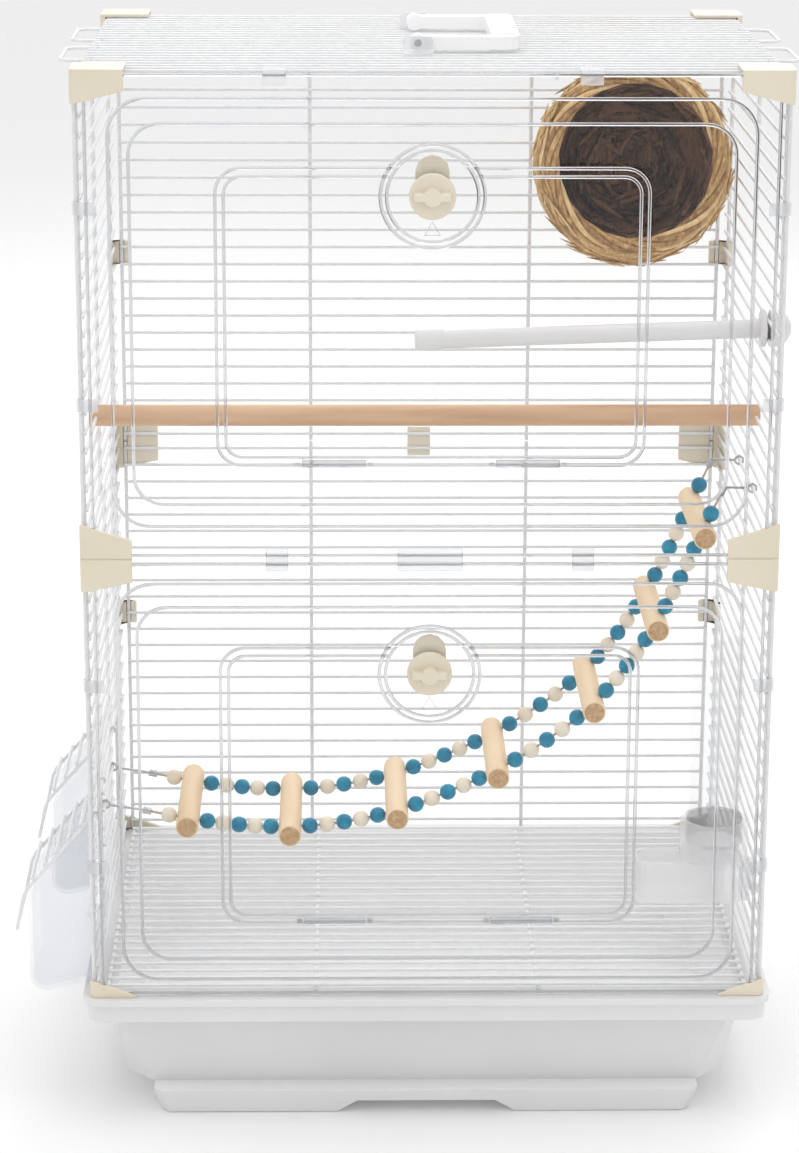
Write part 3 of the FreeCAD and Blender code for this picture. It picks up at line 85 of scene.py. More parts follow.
def pick_faces(piece, wanted):
    """Selects the faces whose normal passes the test."""
    mesh = bmesh.from_edit_mesh(piece.data)
    for face in mesh.faces:
        face.select_set(wanted(face.normal))
    bmesh.update_edit_mesh(piece.data)


def pick_edges(piece, wanted):
    """Selects the edges whose two ends pass the test."""
    mesh = bmesh.from_edit_mesh(piece.data)
    for edge in mesh.edges:
        edge.select_set(wanted(edge.verts[0].co, edge.verts[1].co))
    bmesh.update_edit_mesh(piece.data)


def settle(piece):
    """Puts a piece's place, turn and size into its mesh."""
    pick_up(piece)
    bpy.ops.object.transform_apply(location=True, rotation=True, scale=True)
    return piece


def smooth(piece, degrees):
    pick_up(piece)
    bpy.ops.object.shade_smooth_by_angle(angle=math.radians(degrees))
    return piece


def place_along(piece, place, way):
    """Turns a piece made along Z to point along a direction, and moves it to its place."""
    piece.rotation_mode = "QUATERNION"
    piece.rotation_quaternion = Vector(way).to_track_quat("Z", "Y")
    piece.location = place
    return settle(piece)


def turned(name, rings, sides):
    """A turned piece along Z: a disc drawn out through rings of (height, radius)."""
    put_down()
    low, radius = rings[0]
    bpy.ops.mesh.primitive_circle_add(
        vertices=sides, radius=radius, fill_type="NGON", location=(0, 0, 0))
    piece = named(name)
    bpy.ops.object.mode_set(mode="EDIT")
    bpy.ops.mesh.select_all(action="SELECT")
    bpy.ops.transform.translate(value=(0, 0, low))
    for height, following in rings[1:]:
        bpy.ops.mesh.extrude_region_move(TRANSFORM_OT_translate={"value": (0, 0, height - low)})
        share = following / radius
        bpy.ops.transform.resize(value=(share, share, 1), center_override=(0, 0, height))
        low, radius = height, following
    bpy.ops.mesh.select_all(action="SELECT")
    bpy.ops.mesh.normals_make_consistent(inside=False)
    bpy.ops.object.mode_set(mode="OBJECT")
    return piece


def in_metres(rings):
    """Rings of (height, radius), written in millimetres."""
    return [(height * MM, radius * MM) for height, radius in rings]


def copy_of(piece, name):
    """A copy with its own mesh."""
    copy = piece.copy()
    copy.data = piece.data.copy()
    copy.name = name
    bpy.context.scene.collection.objects.link(copy)
    return copy


def joined(name, pieces):
    """Joins copies into one piece."""
    put_down()
    for piece in pieces:
        piece.select_set(True)
    bpy.context.view_layer.objects.active = pieces[0]
    bpy.ops.object.join()
    return named(name)


# Finishes

TRAY_MOUTH = (0.0, 0.0, 70.0 * MM)
FINE_RELIEF = 0.2 * MM


def finish_of(name):
    """A new material, its node tree and its shader."""
    finish = bpy.data.materials.new(name)
    finish.use_nodes = True
    tree = finish.node_tree
    shader = next(node for node in tree.nodes if node.type == "BSDF_PRINCIPLED")
    return finish, tree, shader


def place_on(tree, scale=(1, 1, 1), turn=(0, 0, 0)):
    """Object coordinates, stretched and turned."""
    coordinates = tree.nodes.new("ShaderNodeTexCoord")
    mapping = tree.nodes.new("ShaderNodeMapping")
    mapping.inputs["Scale"].default_value = scale
    mapping.inputs["Rotation"].default_value = turn
    tree.links.new(coordinates.outputs["Object"], mapping.inputs["Vector"])
    return mapping.outputs["Vector"]


def mottle(tree, place, scale, detail, distortion=0.0):
    noise = tree.nodes.new("ShaderNodeTexNoise")
    noise.inputs["Scale"].default_value = scale
    noise.inputs["Detail"].default_value = detail
    noise.inputs["Distortion"].default_value = distortion
    tree.links.new(place, noise.inputs["Vector"])
    return noise.outputs["Fac"]


def shades(tree, factor, stops):
    """A run of colours over a factor: stops of (position, colour)."""
    ramp = tree.nodes.new("ShaderNodeValToRGB")
    steps = ramp.color_ramp.elements
    while len(steps) < len(stops):
        steps.new(0.5)
    for step, (position, colour) in zip(steps, stops):
        step.position = position
        step.color = (*colour, 1.0)
    tree.links.new(factor, ramp.inputs["Fac"])
    return ramp.outputs["Color"]


def between(tree, factor, low, high):
    """A factor from 0 to 1 spread over a range."""
    spread = tree.nodes.new("ShaderNodeMapRange")
    spread.inputs["To Min"].default_value = low
    spread.inputs["To Max"].default_value = high
    tree.links.new(factor, spread.inputs["Value"])
    return spread.outputs["Result"]


def relief(tree, shader, height, strength, depth):
    bump = tree.nodes.new("ShaderNodeBump")
    bump.inputs["Strength"].default_value = strength
    bump.inputs["Distance"].default_value = depth
    tree.links.new(height, bump.inputs["Height"])
    tree.links.new(bump.outputs["Normal"], shader.inputs["Normal"])


def worked(tree, operation, *values):
    """The result of a calculation with sockets and numbers."""
    step = tree.nodes.new("ShaderNodeMath")
    step.operation = operation
    for socket, value in zip(step.inputs, values):
        if isinstance(value, float):
            socket.default_value = value
        else:
            tree.links.new(value, socket)
    return step.outputs["Value"]


def painted_light_inside(tree):
    """1 on faces that look towards the middle of the tray's mouth, 0 elsewhere: the mask for the light
    painted on the tray's inside.
    """
    geometry = tree.nodes.new("ShaderNodeNewGeometry")
    coordinates = tree.nodes.new("ShaderNodeTexCoord")
    offset = tree.nodes.new("ShaderNodeVectorMath")
    offset.operation = "SUBTRACT"
    offset.inputs[1].default_value = TRAY_MOUTH
    tree.links.new(coordinates.outputs["Object"], offset.inputs[0])
    away = tree.nodes.new("ShaderNodeVectorMath")
    away.operation = "DOT_PRODUCT"
    tree.links.new(geometry.outputs["Normal"], away.inputs[0])
    tree.links.new(offset.outputs["Vector"], away.inputs[1])
    return worked(tree, "LESS_THAN", away.outputs["Value"], 0.0)


def moulded_plastic(name, pale, deep, roughness, grain, inner=None):
    """Opaque moulded plastic with a slight mottle and a fine grain; a tray's inside may get a paler
    colour, which is painted light.
    """
    finish, tree, shader = finish_of(name)
    place = place_on(tree)
    cloud = mottle(tree, place, 14.0, 4.0)
    colour = shades(tree, cloud, ((0.35, deep), (0.65, pale)))
    # The paler inside colour is painted light: the tray's floor and inner walls are shown brighter than
    # its outside, as if more light fell there
    if inner:
        # For colours the node's factor is input 0, its colours are inputs 6 and 7, its result is output 2
        mix = tree.nodes.new("ShaderNodeMix")
        mix.data_type = "RGBA"
        tree.links.new(painted_light_inside(tree), mix.inputs[0])
        tree.links.new(colour, mix.inputs[6])
        mix.inputs[7].default_value = (*inner, 1.0)
        colour = mix.outputs[2]
    tree.links.new(colour, shader.inputs["Base Color"])
    fine = mottle(tree, place, 900.0, 2.0)
    tree.links.new(between(tree, fine, roughness - 0.06, roughness + 0.06), shader.inputs["Roughness"])
    relief(tree, shader, fine, grain, FINE_RELIEF)
    return finish


def clear_plastic(name, tint, roughness):
    """Clear moulded plastic with a faint ripple."""
    finish, tree, shader = finish_of(name)
    place = place_on(tree)
    shader.inputs["Base Color"].default_value = (*tint, 1.0)
    shader.inputs["Transmission Weight"].default_value = 1.0
    shader.inputs["IOR"].default_value = 1.46
    scuff = mottle(tree, place, 120.0, 3.0)
    tree.links.new(between(tree, scuff, roughness * 0.5, roughness * 1.5), shader.inputs["Roughness"])
    relief(tree, shader, mottle(tree, place, 22.0, 1.0), 0.02, 0.6 * MM)
    return finish


def thin_clear(name, colour, cover, roughness):
    """Thin clear plastic: light goes straight through, and a little of it stays as a pale sheen."""
    finish, tree, shader = finish_of(name)
    scuff = mottle(tree, place_on(tree), 160.0, 3.0)
    shader.inputs["Base Color"].default_value = (*colour, 1.0)
    shader.inputs["Alpha"].default_value = cover
    tree.links.new(between(tree, scuff, roughness * 0.6, roughness * 1.4), shader.inputs["Roughness"])
    return finish


def end_grain():
    """The sawn end of a pale dowel: fine specks, darker than its side."""
    finish, tree, shader = finish_of("end_grain")
    specks = mottle(tree, place_on(tree), 500.0, 4.0, 0.5)
    stops = ((0.25, (0.38, 0.22, 0.10)), (0.55, (0.56, 0.36, 0.19)), (0.8, (0.68, 0.48, 0.28)))
    tree.links.new(shades(tree, specks, stops), shader.inputs["Base Color"])
    shader.inputs["Roughness"].default_value = 0.8
    relief(tree, shader, specks, 0.3, FINE_RELIEF)
    return finish


def straw(name, stops):
    """Dry straw: streaks and blotches, and each straw with a tone of its own."""
    finish, tree, shader = finish_of(name)
    blotch = mottle(tree, place_on(tree), 130.0, 4.0, 1.5)
    streak = mottle(tree, place_on(tree, (1.0, 1.0, 0.25), (0.4, 0.7, 0.2)), 700.0, 3.0)
    each = tree.nodes.new("ShaderNodeNewGeometry")
    both = worked(tree, "MULTIPLY", blotch, streak)
    mixed = worked(tree, "MULTIPLY_ADD", each.outputs["Random Per Island"], 0.45, both)
    tree.links.new(shades(tree, mixed, stops), shader.inputs["Base Color"])
    shader.inputs["Roughness"].default_value = 0.7
    relief(tree, shader, streak, 0.5, 0.4 * MM)
    return finish


def coated_wire(name, pale, deep):
    """White coating with tiny runs and slight shade changes along the wire."""
    finish, tree, shader = finish_of(name)
    runs = mottle(tree, place_on(tree), 260.0, 3.0)
    tree.links.new(shades(tree, runs, ((0.3, deep), (0.7, pale))), shader.inputs["Base Color"])
    tree.links.new(between(tree, runs, 0.22, 0.4), shader.inputs["Roughness"])
    relief(tree, shader, runs, 0.15, FINE_RELIEF)
    return finish


def wood(name, stretch, stops, gloss):
    """Wood with its grain along one axis: fine pores over broad bands."""
    finish, tree, shader = finish_of(name)
    place = place_on(tree, stretch)
    bands = mottle(tree, place, 38.0, 5.0, 1.2)
    pores = mottle(tree, place, 210.0, 3.0)
    mixed = worked(tree, "MULTIPLY_ADD", pores, 0.35, between(tree, bands, 0.0, 0.65))
    tree.links.new(shades(tree, mixed, stops), shader.inputs["Base Color"])
    tree.links.new(between(tree, pores, gloss - 0.08, gloss + 0.08), shader.inputs["Roughness"])
    relief(tree, shader, pores, 0.2, FINE_RELIEF)
    return finish


def stained_bead():
    """Blue stained wood under a clear gloss."""
    finish, tree, shader = finish_of("blue_stain")
    place = place_on(tree)
    cloud = mottle(tree, place, 160.0, 4.0, 0.6)
    stops = ((0.3, (0.0, 0.145, 0.27)), (0.55, (0.0, 0.225, 0.375)), (0.8, (0.003, 0.34, 0.50)))
    tree.links.new(shades(tree, cloud, stops), shader.inputs["Base Color"])
    tree.links.new(between(tree, cloud, 0.24, 0.38), shader.inputs["Roughness"])
    shader.inputs["Specular IOR Level"].default_value = 0.25
    shader.inputs["Coat Weight"].default_value = 0.25
    shader.inputs["Coat Roughness"].default_value = 0.1
    relief(tree, shader, mottle(tree, place, 700.0, 2.0), 0.1, FINE_RELIEF)
    return finish


def bright_steel():
    """Bare steel wire with faint streaks."""
    finish, tree, shader = finish_of("bright_steel")
    streaks = mottle(tree, place_on(tree), 400.0, 3.0)
    stops = ((0.3, (0.36, 0.36, 0.37)), (0.7, (0.56, 0.56, 0.57)))
    shader.inputs["Metallic"].default_value = 1.0
    tree.links.new(shades(tree, streaks, stops), shader.inputs["Base Color"])
    tree.links.new(between(tree, streaks, 0.2, 0.4), shader.inputs["Roughness"])
    return finish


def twine():
    """Twisted thread: slanting strands seen as light and dark bands."""
    finish, tree, shader = finish_of("twine")
    place = place_on(tree, turn=(0.0, math.radians(35), 0.0))
    stops = ((0.2, (0.30, 0.24, 0.17)), (0.7, (0.70, 0.62, 0.50)))
    wave = tree.nodes.new("ShaderNodeTexWave")
    wave.inputs["Scale"].default_value = 260.0
    tree.links.new(place, wave.inputs["Vector"])
    tree.links.new(shades(tree, wave.outputs["Fac"], stops), shader.inputs["Base Color"])
    shader.inputs["Roughness"].default_value = 0.9
    relief(tree, shader, wave.outputs["Fac"], 0.4, 0.3 * MM)
    return finish


finishes = {
    "white_plastic": moulded_plastic(
        "white_moulding", (0.71, 0.70, 0.695), (0.685, 0.675, 0.67), 0.36, 0.05),
    # The handle's paler copy of the white plastic is painted light: the handle is shown brighter than the
    # other white mouldings
    "handle_plastic_painted_light": moulded_plastic(
        "handle_moulding_painted_light", (0.91, 0.905, 0.905), (0.89, 0.885, 0.885), 0.36, 0.05),
    # The tray's inner colour is painted light: its inside is made paler than its outside
    "tray_plastic_painted_light": moulded_plastic(
        "tray_moulding_painted_light", (0.73, 0.725, 0.725), (0.705, 0.70, 0.70), 0.36, 0.05, (0.95, 0.95, 0.955)),
    "ivory_plastic": moulded_plastic(
        "ivory_moulding", (0.74, 0.675, 0.55), (0.70, 0.63, 0.495), 0.42, 0.06),
    "white_wire": coated_wire("white_coating", (0.77, 0.772, 0.78), (0.70, 0.705, 0.715)),
    # The grille's paler copy of the white coating is painted light: the floor grille is shown brighter
    # than the other wires
    "grille_wire_painted_light": coated_wire("grille_coating_painted_light", (0.90, 0.902, 0.91), (0.84, 0.845, 0.855)),
    "beech": wood("beech", (0.06, 1.0, 1.0), (
        (0.25, (0.46, 0.255, 0.125)), (0.5, (0.62, 0.39, 0.23)), (0.8, (0.73, 0.53, 0.35))), 0.45),
    "pale_wood": wood("pale_wood", (1.0, 0.08, 1.0), (
        (0.2, (0.66, 0.45, 0.25)), (0.5, (0.82, 0.62, 0.40)), (0.8, (0.89, 0.74, 0.53))), 0.55),
    "natural_bead": wood("natural_bead", (1.0, 1.0, 1.0), (
        (0.2, (0.66, 0.53, 0.37)), (0.5, (0.80, 0.71, 0.57)), (0.8, (0.87, 0.80, 0.68))), 0.4),
    "blue_wood": stained_bead(),
    "straw": straw("straw", (
        (0.2, (0.22, 0.11, 0.04)), (0.38, (0.46, 0.27, 0.10)),
        (0.55, (0.66, 0.44, 0.20)), (0.75, (0.80, 0.61, 0.34)))),
    "old_straw": straw("old_straw", (
        (0.2, (0.030, 0.014, 0.007)), (0.45, (0.12, 0.055, 0.026)), (0.7, (0.30, 0.15, 0.075)))),
    "clear_sheet": thin_clear("clear_sheet", (0.90, 0.91, 0.93), 0.02, 0.1),
    "clear_box": thin_clear("clear_box", (0.74, 0.77, 0.82), 0.2, 0.12),
    "clear_tank": thin_clear("clear_tank", (0.86, 0.87, 0.89), 0.1, 0.12),
    "clear_cup": thin_clear("clear_cup", (0.93, 0.93, 0.94), 0.34, 0.12),
    "clear_clip": thin_clear("clear_clip", (0.80, 0.81, 0.83), 0.42, 0.14),
    "clear_edge": clear_plastic("clear_edge", (0.72, 0.73, 0.75), 0.03),
    "end_grain": end_grain(),
    "string": twine(),
    "steel": bright_steel(),
}


def give(piece, look):
    """Gives a piece one finish."""
    piece.data.materials.clear()
    piece.data.materials.append(finishes[look])
    return piece


# Frame pieces: every solid keeps its shape and gets its finish, and the solids of the slots listed below
# get softened edges

EDGE_STEPS = 2


def soften(node, width):
    """Merges a solid's loose triangles and rounds its edges."""
    pick_up(node)
    bpy.ops.object.shade_smooth()
    weld = node.modifiers.new("merge", "WELD")
    weld.merge_threshold = 0.01 * MM
    flat = node.modifiers.new("flat", "DECIMATE")
    flat.decimate_type = "DISSOLVE"
    flat.angle_limit = math.radians(1.0)
    edge = node.modifiers.new("edge", "BEVEL")
    edge.limit_method = "ANGLE"
    edge.angle_limit = math.radians(28.0)
    edge.width = width
    edge.segments = EDGE_STEPS
    edge.harden_normals = True
    node.modifiers.new("normals", "WEIGHTED_NORMAL")


slots = {part["node"]: part["material_slot"] for part in frame["record"]["subparts"]}
# Solids whose finish isn't the one named like their slot
looks = {
    "front_panel_upper": "clear_sheet",
    "front_panel_lower": "clear_sheet",
    "upper_door": "clear_sheet",
    "lower_door": "clear_sheet",
    "near_feeder": "clear_box",
    "far_feeder": "clear_box",
    "water_bottle": "clear_tank",
    "water_collar": "clear_cup",
    "water_trough": "clear_cup",
    "water_bracket": "clear_clip",
    "handle_brackets": "clear_clip",
    # The handle's finish is a lit copy of the white plastic, with painted light
    "carry_handle": "handle_plastic_painted_light",
    # The tray's finish paints light on its inside
    "base_tray": "tray_plastic_painted_light",
    # The grille's finish is a lit copy of the wire coating, with painted light
    "floor_grille": "grille_wire_painted_light",
    "panel_seam_clips": "clear_clip",
    "panel_top_clips": "clear_clip",
    "panel_edge_clips": "clear_clip",
}
# Width of the rounded edges for each slot
edges = {
    "white_wire": 0.6 * MM,
    "steel": 0.3 * MM,
    "clear_plastic": 0.5 * MM,
    "ivory_plastic": 0.7 * MM,
    "white_plastic": 0.8 * MM,
}


# Bead ladder: two strings, their beads and the rungs between them

# The strings' bends as (x, z) in millimetres, and which of them carry a rung
STRING = (
    (-157, 151.5), (-138, 147.5), (-107, 143), (-76, 141.5), (-45, 144.5),
    (-14, 152), (15.5, 163.5), (43.5, 177), (71, 194.5), (95.5, 214.5),
    (115, 238), (130.5, 263), (144.5, 291), (156.5, 320), (165.5, 339.5))
RUNG_POINTS = (1, 3, 5, 7, 9, 11, 13)
STRING_SIDES = (("front", -41.5 * MM), ("rear", 23.0 * MM))
RUNG_Y = -11.5 * MM
RUNG = 13.0 * MM
BEAD = 9.4 * MM
BAY_BEADS = 5


def string_line(name, y):
    """A smooth line through the bay: one control point at each bend."""
    data = bpy.data.curves.new(name, "CURVE")
    data.dimensions = "3D"
    data.resolution_u = 8
    spline = data.splines.new("NURBS")
    spline.points.add(len(STRING) - 1)
    for point, (x, z) in zip(spline.points, STRING):
        point.co = (x * MM, y, z * MM, 1.0)
    spline.order_u = 3
    spline.use_endpoint_u = True
    line = bpy.data.objects.new(name, data)
    bpy.context.scene.collection.objects.link(line)
    return line


def followed(line):
    """Points along a line that has no thickness yet, with their distances from its start."""
    bpy.context.view_layer.update()
    mesh = bpy.data.meshes.new_from_object(line)
    points = [vertex.co.copy() for vertex in mesh.vertices]
    bpy.data.meshes.remove(mesh)
    distances = [0.0]
    for before, point in zip(points, points[1:]):
        distances.append(distances[-1] + (point - before).length)
    return points, distances


def at_distance(track, distance):
    """Place and direction at a distance along a followed line."""
    points, distances = track
    number = 1
    while number < len(points) - 1 and distances[number] < distance:
        number += 1
    way = (points[number] - points[number - 1]).normalized()
    return points[number - 1] + way * (distance - distances[number - 1]), way


def nearest_distance(track, target):
    points, distances = track
    return min(zip(points, distances), key=lambda pair: (pair[0] - target).length)[1]


def bead_run(track, y):
    """Distances of the rungs, the blue and the natural beads: every bay starts and ends with blue."""
    rungs = [nearest_distance(track, Vector((STRING[number][0] * MM, y, STRING[number][1] * MM)))
             for number in RUNG_POINTS]
    natural = [rungs[0] - (RUNG + BEAD) / 2]
    blue = []
    for start, end in zip(rungs, rungs[1:]):
        step = (end - start - RUNG) / BAY_BEADS
        for number in range(BAY_BEADS):
            row = natural if number % 2 else blue
            row.append(start + RUNG / 2 + (number + 0.5) * step)
    blue.append(rungs[-1] + (RUNG + BEAD) / 2)
    return rungs, blue, natural


def bead_shape():
    """A ball with a sunk hole at each end."""
    half = (
        (0.0, 4.7), (1.5, 4.47), (2.8, 3.82), (3.75, 2.9),
        (4.3, 1.95), (4.35, 1.45), (4.15, 1.1), (2.6, 1.05))
    other_half = [(-height, radius) for height, radius in reversed(half)]
    return smooth(turned("bead", in_metres(other_half + list(half[1:])), 22), 60)


def rung_shape():
    """A pale dowel with broken edges and sawn ends."""
    rings = ((-46.0, 5.7), (-45.4, 6.4), (-44.6, 6.5), (44.6, 6.5), (45.4, 6.4), (46.0, 5.7))
    dowel = turned("rung", in_metres(rings), 30)
    give(dowel, "pale_wood")
    dowel.data.materials.append(finishes["end_grain"])
    start_edit(dowel)
    pick_faces(dowel, lambda normal: abs(normal.z) > 0.9)
    dowel.active_material_index = 1
    bpy.ops.object.material_slot_assign()
    bpy.ops.object.mode_set(mode="OBJECT")
    return smooth(dowel, 40)


def make_ladder():
    pattern = bead_shape()
    dowel = rung_shape()
    for side, y in STRING_SIDES:
        line = string_line("string_" + side, y)
        track = followed(line)
        rungs, blue, natural = bead_run(track, y)
        kinds = (
            ("blue_wood", "blue_wood", "beads_blue_", blue),
            ("pale_wood", "natural_bead", "beads_natural_", natural))
        for slot, look, stem, run in kinds:
            beads = []
            for distance in run:
                place, way = at_distance(track, distance)
                beads.append(place_along(copy_of(pattern, "bead_copy"), place, way))
            row = give(joined(stem + side, beads), look)
            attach(row, "cage")
        if side == "front":
            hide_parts("ladder_beads_blue")
            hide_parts("ladder_beads_natural")
            rung_set = []
            for distance in rungs:
                place = at_distance(track, distance)[0]
                middle = Vector((place.x, RUNG_Y, place.z))
                rung_set.append(place_along(copy_of(dowel, "rung_copy"), middle, (0.0, 1.0, 0.0)))
            dowels = joined("rungs", rung_set)
            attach(dowels, "cage")
            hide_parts("ladder_rungs")
        line.data.bevel_depth = 0.75 * MM
        line.data.bevel_resolution = 3
        line.data.use_fill_caps = True
        line.data.materials.append(finishes["string"])
        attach(line, "cage")
        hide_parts("ladder_string_" + side)
    bpy.data.objects.remove(pattern)
    bpy.data.objects.remove(dowel)


# Woven nest

NEST_MOUTH = Vector((121.0, 36.5, 516.0)) * MM
NEST_TILT = math.radians(12.0)
NEST_WAY = Vector((0.0, math.cos(NEST_TILT), -math.sin(NEST_TILT)))
NEST_TURN = NEST_WAY.to_track_quat("Z", "Y")
# Rings of the nest as (distance behind the mouth, radius) in millimetres
COILS = (
    (4.0, 48.0), (11.5, 50.6), (20.0, 52.0), (28.5, 52.8), (37.0, 53.0), (45.5, 52.4), (54.0, 50.6),
    (62.0, 47.4), (69.0, 42.6), (75.0, 36.2), (78.6, 28.2), (79.6, 19.6), (79.6, 11.0))
COIL_STRAWS = 5
COIL_R = 4.4 * MM
STRAW_R = COIL_R * 0.38
STRAW_OUT = COIL_R * 0.62
COIL_PITCH = 85.0 * MM
COIL_STEPS = 24
LINING = (
    (79, 14), (75, 33), (66, 43.5), (54, 49), (37, 51.5), (20, 50.5), (9, 48.5), (5.5, 46.5),
    (9, 45), (20, 47.5), (37, 48), (54, 45.5), (64, 40), (70, 32), (73.5, 12))
BLADE = ((-15, 0.4), (-9, 1.5), (0, 2.0), (9, 1.4), (15, 0.3))
WALL_LITTER = 150
BACK_LITTER = 60
STRAW_ENDS = 70
STRAW_END = ((-17, 0.2), (-12, 0.7), (0, 0.9), (12, 0.7), (18, 0.15))


def straw_coil(height, radius):
    """One ring of the nest: straws twisted into a rope and bent round."""
    put_down()
    bpy.ops.curve.primitive_bezier_circle_add(radius=radius, location=(0, 0, 0))
    ring = bpy.context.active_object
    ring.data.resolution_u = 24
    length = ring.data.splines[0].calc_length()
    put_down()
    bpy.ops.mesh.primitive_circle_add(
        vertices=6, radius=STRAW_R, location=(0, STRAW_OUT, 0), rotation=(0, math.pi / 2, 0))
    rope = settle(named("coil"))
    start_edit(rope, "VERT")
    bpy.ops.mesh.select_all(action="SELECT")
    for number in range(COIL_STRAWS - 1):
        bpy.ops.mesh.duplicate()
        bpy.ops.transform.rotate(
            value=math.tau / COIL_STRAWS, orient_axis="X", center_override=(0, 0, 0))
    bpy.ops.object.mode_set(mode="OBJECT")
    turns = max(1, round(length / COIL_PITCH))
    screw = rope.modifiers.new("twist", "SCREW")
    screw.axis = "X"
    screw.angle = math.tau * turns
    screw.screw_offset = length
    screw.steps = turns * COIL_STEPS
    screw.render_steps = turns * COIL_STEPS
    pick_up(rope)
    bpy.ops.object.modifier_apply(modifier="twist")
    bend = rope.modifiers.new("bend", "CURVE")
    bend.object = ring
    bend.deform_axis = "POS_X"
    bpy.ops.object.modifier_apply(modifier="bend")
    start_edit(rope, "VERT")
    bpy.ops.mesh.select_all(action="SELECT")
    bpy.ops.mesh.remove_doubles(threshold=0.05 * MM)
    bpy.ops.mesh.normals_make_consistent(inside=False)
    bpy.ops.transform.translate(value=(0, 0, height))
    # Each ring starts elsewhere, so that their ends don't stand in a row
    start = 1.1 + 37.0 * height / MM
    bpy.ops.transform.rotate(value=start, orient_axis="Z", center_override=(0, 0, 0))
    bpy.ops.object.mode_set(mode="OBJECT")
    bpy.data.objects.remove(ring)
    return smooth(rope, 80)


def round_nest(angle, reach, depth):
    """A place in the nest's own frame: round its axis, out from it and behind the mouth."""
    return Vector((reach * math.cos(angle), reach * math.sin(angle), depth)) * MM


def along_ring(angle, lean):
    """A way along the nest's rings that leans towards its back or its mouth."""
    return Vector((-math.sin(angle), math.cos(angle), lean))


def laid(blade, local, way):
    """A copy of a straw, laid at a place and along a way of the nest's own frame."""
    return place_along(copy_of(blade, "blade_copy"), NEST_MOUTH + NEST_TURN @ local, NEST_TURN @ way)


def make_nest():
    coils = [straw_coil(height, radius) for height, radius in in_metres(COILS)]
    nest = give(joined("woven_nest", coils), "straw")
    place_along(nest, NEST_MOUTH, NEST_WAY)
    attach(nest, "cage")
    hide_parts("nest")
    lining = turned("nest_lining", in_metres(LINING), 40)
    give(lining, "old_straw")
    smooth(place_along(lining, NEST_MOUTH, NEST_WAY), 60)
    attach(lining, "cage")
    blade = turned("straw_blade", in_metres(BLADE), 6)
    litter = []
    for number in range(WALL_LITTER):
        angle = chance.uniform(0.0, math.tau)
        depth = chance.uniform(14.0, 72.0)
        reach = 46.5 * math.sqrt(max(0.03, 1.0 - (max(0.0, depth - 30.0) / 44.0) ** 2)) - 1.5
        way = along_ring(angle, chance.uniform(-0.7, 0.7))
        litter.append(laid(blade, round_nest(angle, reach, depth), way))
    for number in range(BACK_LITTER):
        angle = chance.uniform(0.0, math.tau)
        reach = 34.0 * math.sqrt(chance.uniform(0.0, 1.0))
        heading = chance.uniform(0.0, math.tau)
        way = Vector((math.cos(heading), math.sin(heading), chance.uniform(-0.25, 0.25)))
        litter.append(laid(blade, round_nest(angle, reach, 71.5), way))
    bpy.data.objects.remove(blade)
    loose = smooth(give(joined("nest_litter", litter), "old_straw"), 60)
    blade = turned("straw_end", in_metres(STRAW_END), 5)
    ends = []
    for number in range(STRAW_ENDS):
        angle = chance.uniform(0.0, math.tau)
        depth = chance.uniform(1.0, 60.0)
        swell = 4.8 * math.sin(min(1.0, depth / 40.0) * math.pi / 2)
        reach = 52.5 + swell - max(0.0, depth - 45.0) * 0.28
        way = along_ring(angle, chance.uniform(-0.35, 0.35))
        ends.append(laid(blade, round_nest(angle, reach, depth), way))
    bpy.data.objects.remove(blade)
    stray = smooth(give(joined("nest_straw_ends", ends), "straw"), 60)
    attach(stray, "cage")
    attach(loose, "cage")


# Wood perch

PERCH_R = 6.0 * MM
PERCH_EDGE = 0.6 * MM


def make_perch():
    low, high = (Vector(corner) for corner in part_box("wood_perch"))
    half = (high.x - low.x) / 2
    end_r = PERCH_R - PERCH_EDGE
    rings = ((-half, end_r), (-half + PERCH_EDGE, PERCH_R), (half - PERCH_EDGE, PERCH_R), (half, end_r))
    perch = smooth(turned("round_perch", rings, 36), 40)
    give(perch, "beech")
    place_along(perch, (low + high) / 2, (1.0, 0.0, 0.0))
    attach(perch, "cage")
    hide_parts("wood_perch")


# Raised lines of the clear front: thin rounded edges in front of the moulded bands

PANEL_FRONT = -132.8 * MM
RIDGE = 1.6 * MM
# The height of each door's foot, and foot and head of its panel, in millimetres
DOORS = (("upper_door", 379.5), ("lower_door", 119.5))
DOOR_H = 160.5
PANELS = {"upper_door": (329.5, 588.0), "lower_door": (77.0, 326.5)}
LINE_R = 0.95 * MM
LATCH_DROP = 15.8
LATCH_RINGS = (("inner", 23.9), ("outer", 27.2))
RING_SPLIT = 0.5
MARK_SPAN = (-20.5, -13.5)
MARK_W = 8.0
MARK_R = 0.45 * MM
BARREL = ((-17.0, 1.6), (-16.6, 2.1), (16.6, 2.1), (17.0, 1.6))
BARREL_SIDES = (("left", -51.5), ("right", 51.5))
BARREL_Y = -135.7
BARREL_RISE = 2.0


def clear_on(piece, body):
    """Finishes a clear piece and lets a body carry it."""
    give(piece, "clear_edge")
    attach(piece, body)


def rod_along(outline, radius, shift):
    """Turns an outline into a round rod and moves it to its place."""
    name = outline.name
    pick_up(outline)
    bpy.ops.object.convert(target="CURVE")
    line = bpy.context.active_object
    line.data.bevel_depth = radius
    line.data.bevel_resolution = 3
    line.data.use_fill_caps = True
    bpy.ops.object.convert(target="MESH")
    rod = named(name)
    start_edit(rod, "VERT")
    bpy.ops.mesh.select_all(action="SELECT")
    bpy.ops.transform.translate(value=shift)
    bpy.ops.object.mode_set(mode="OBJECT")
    return smooth(rod, 60)


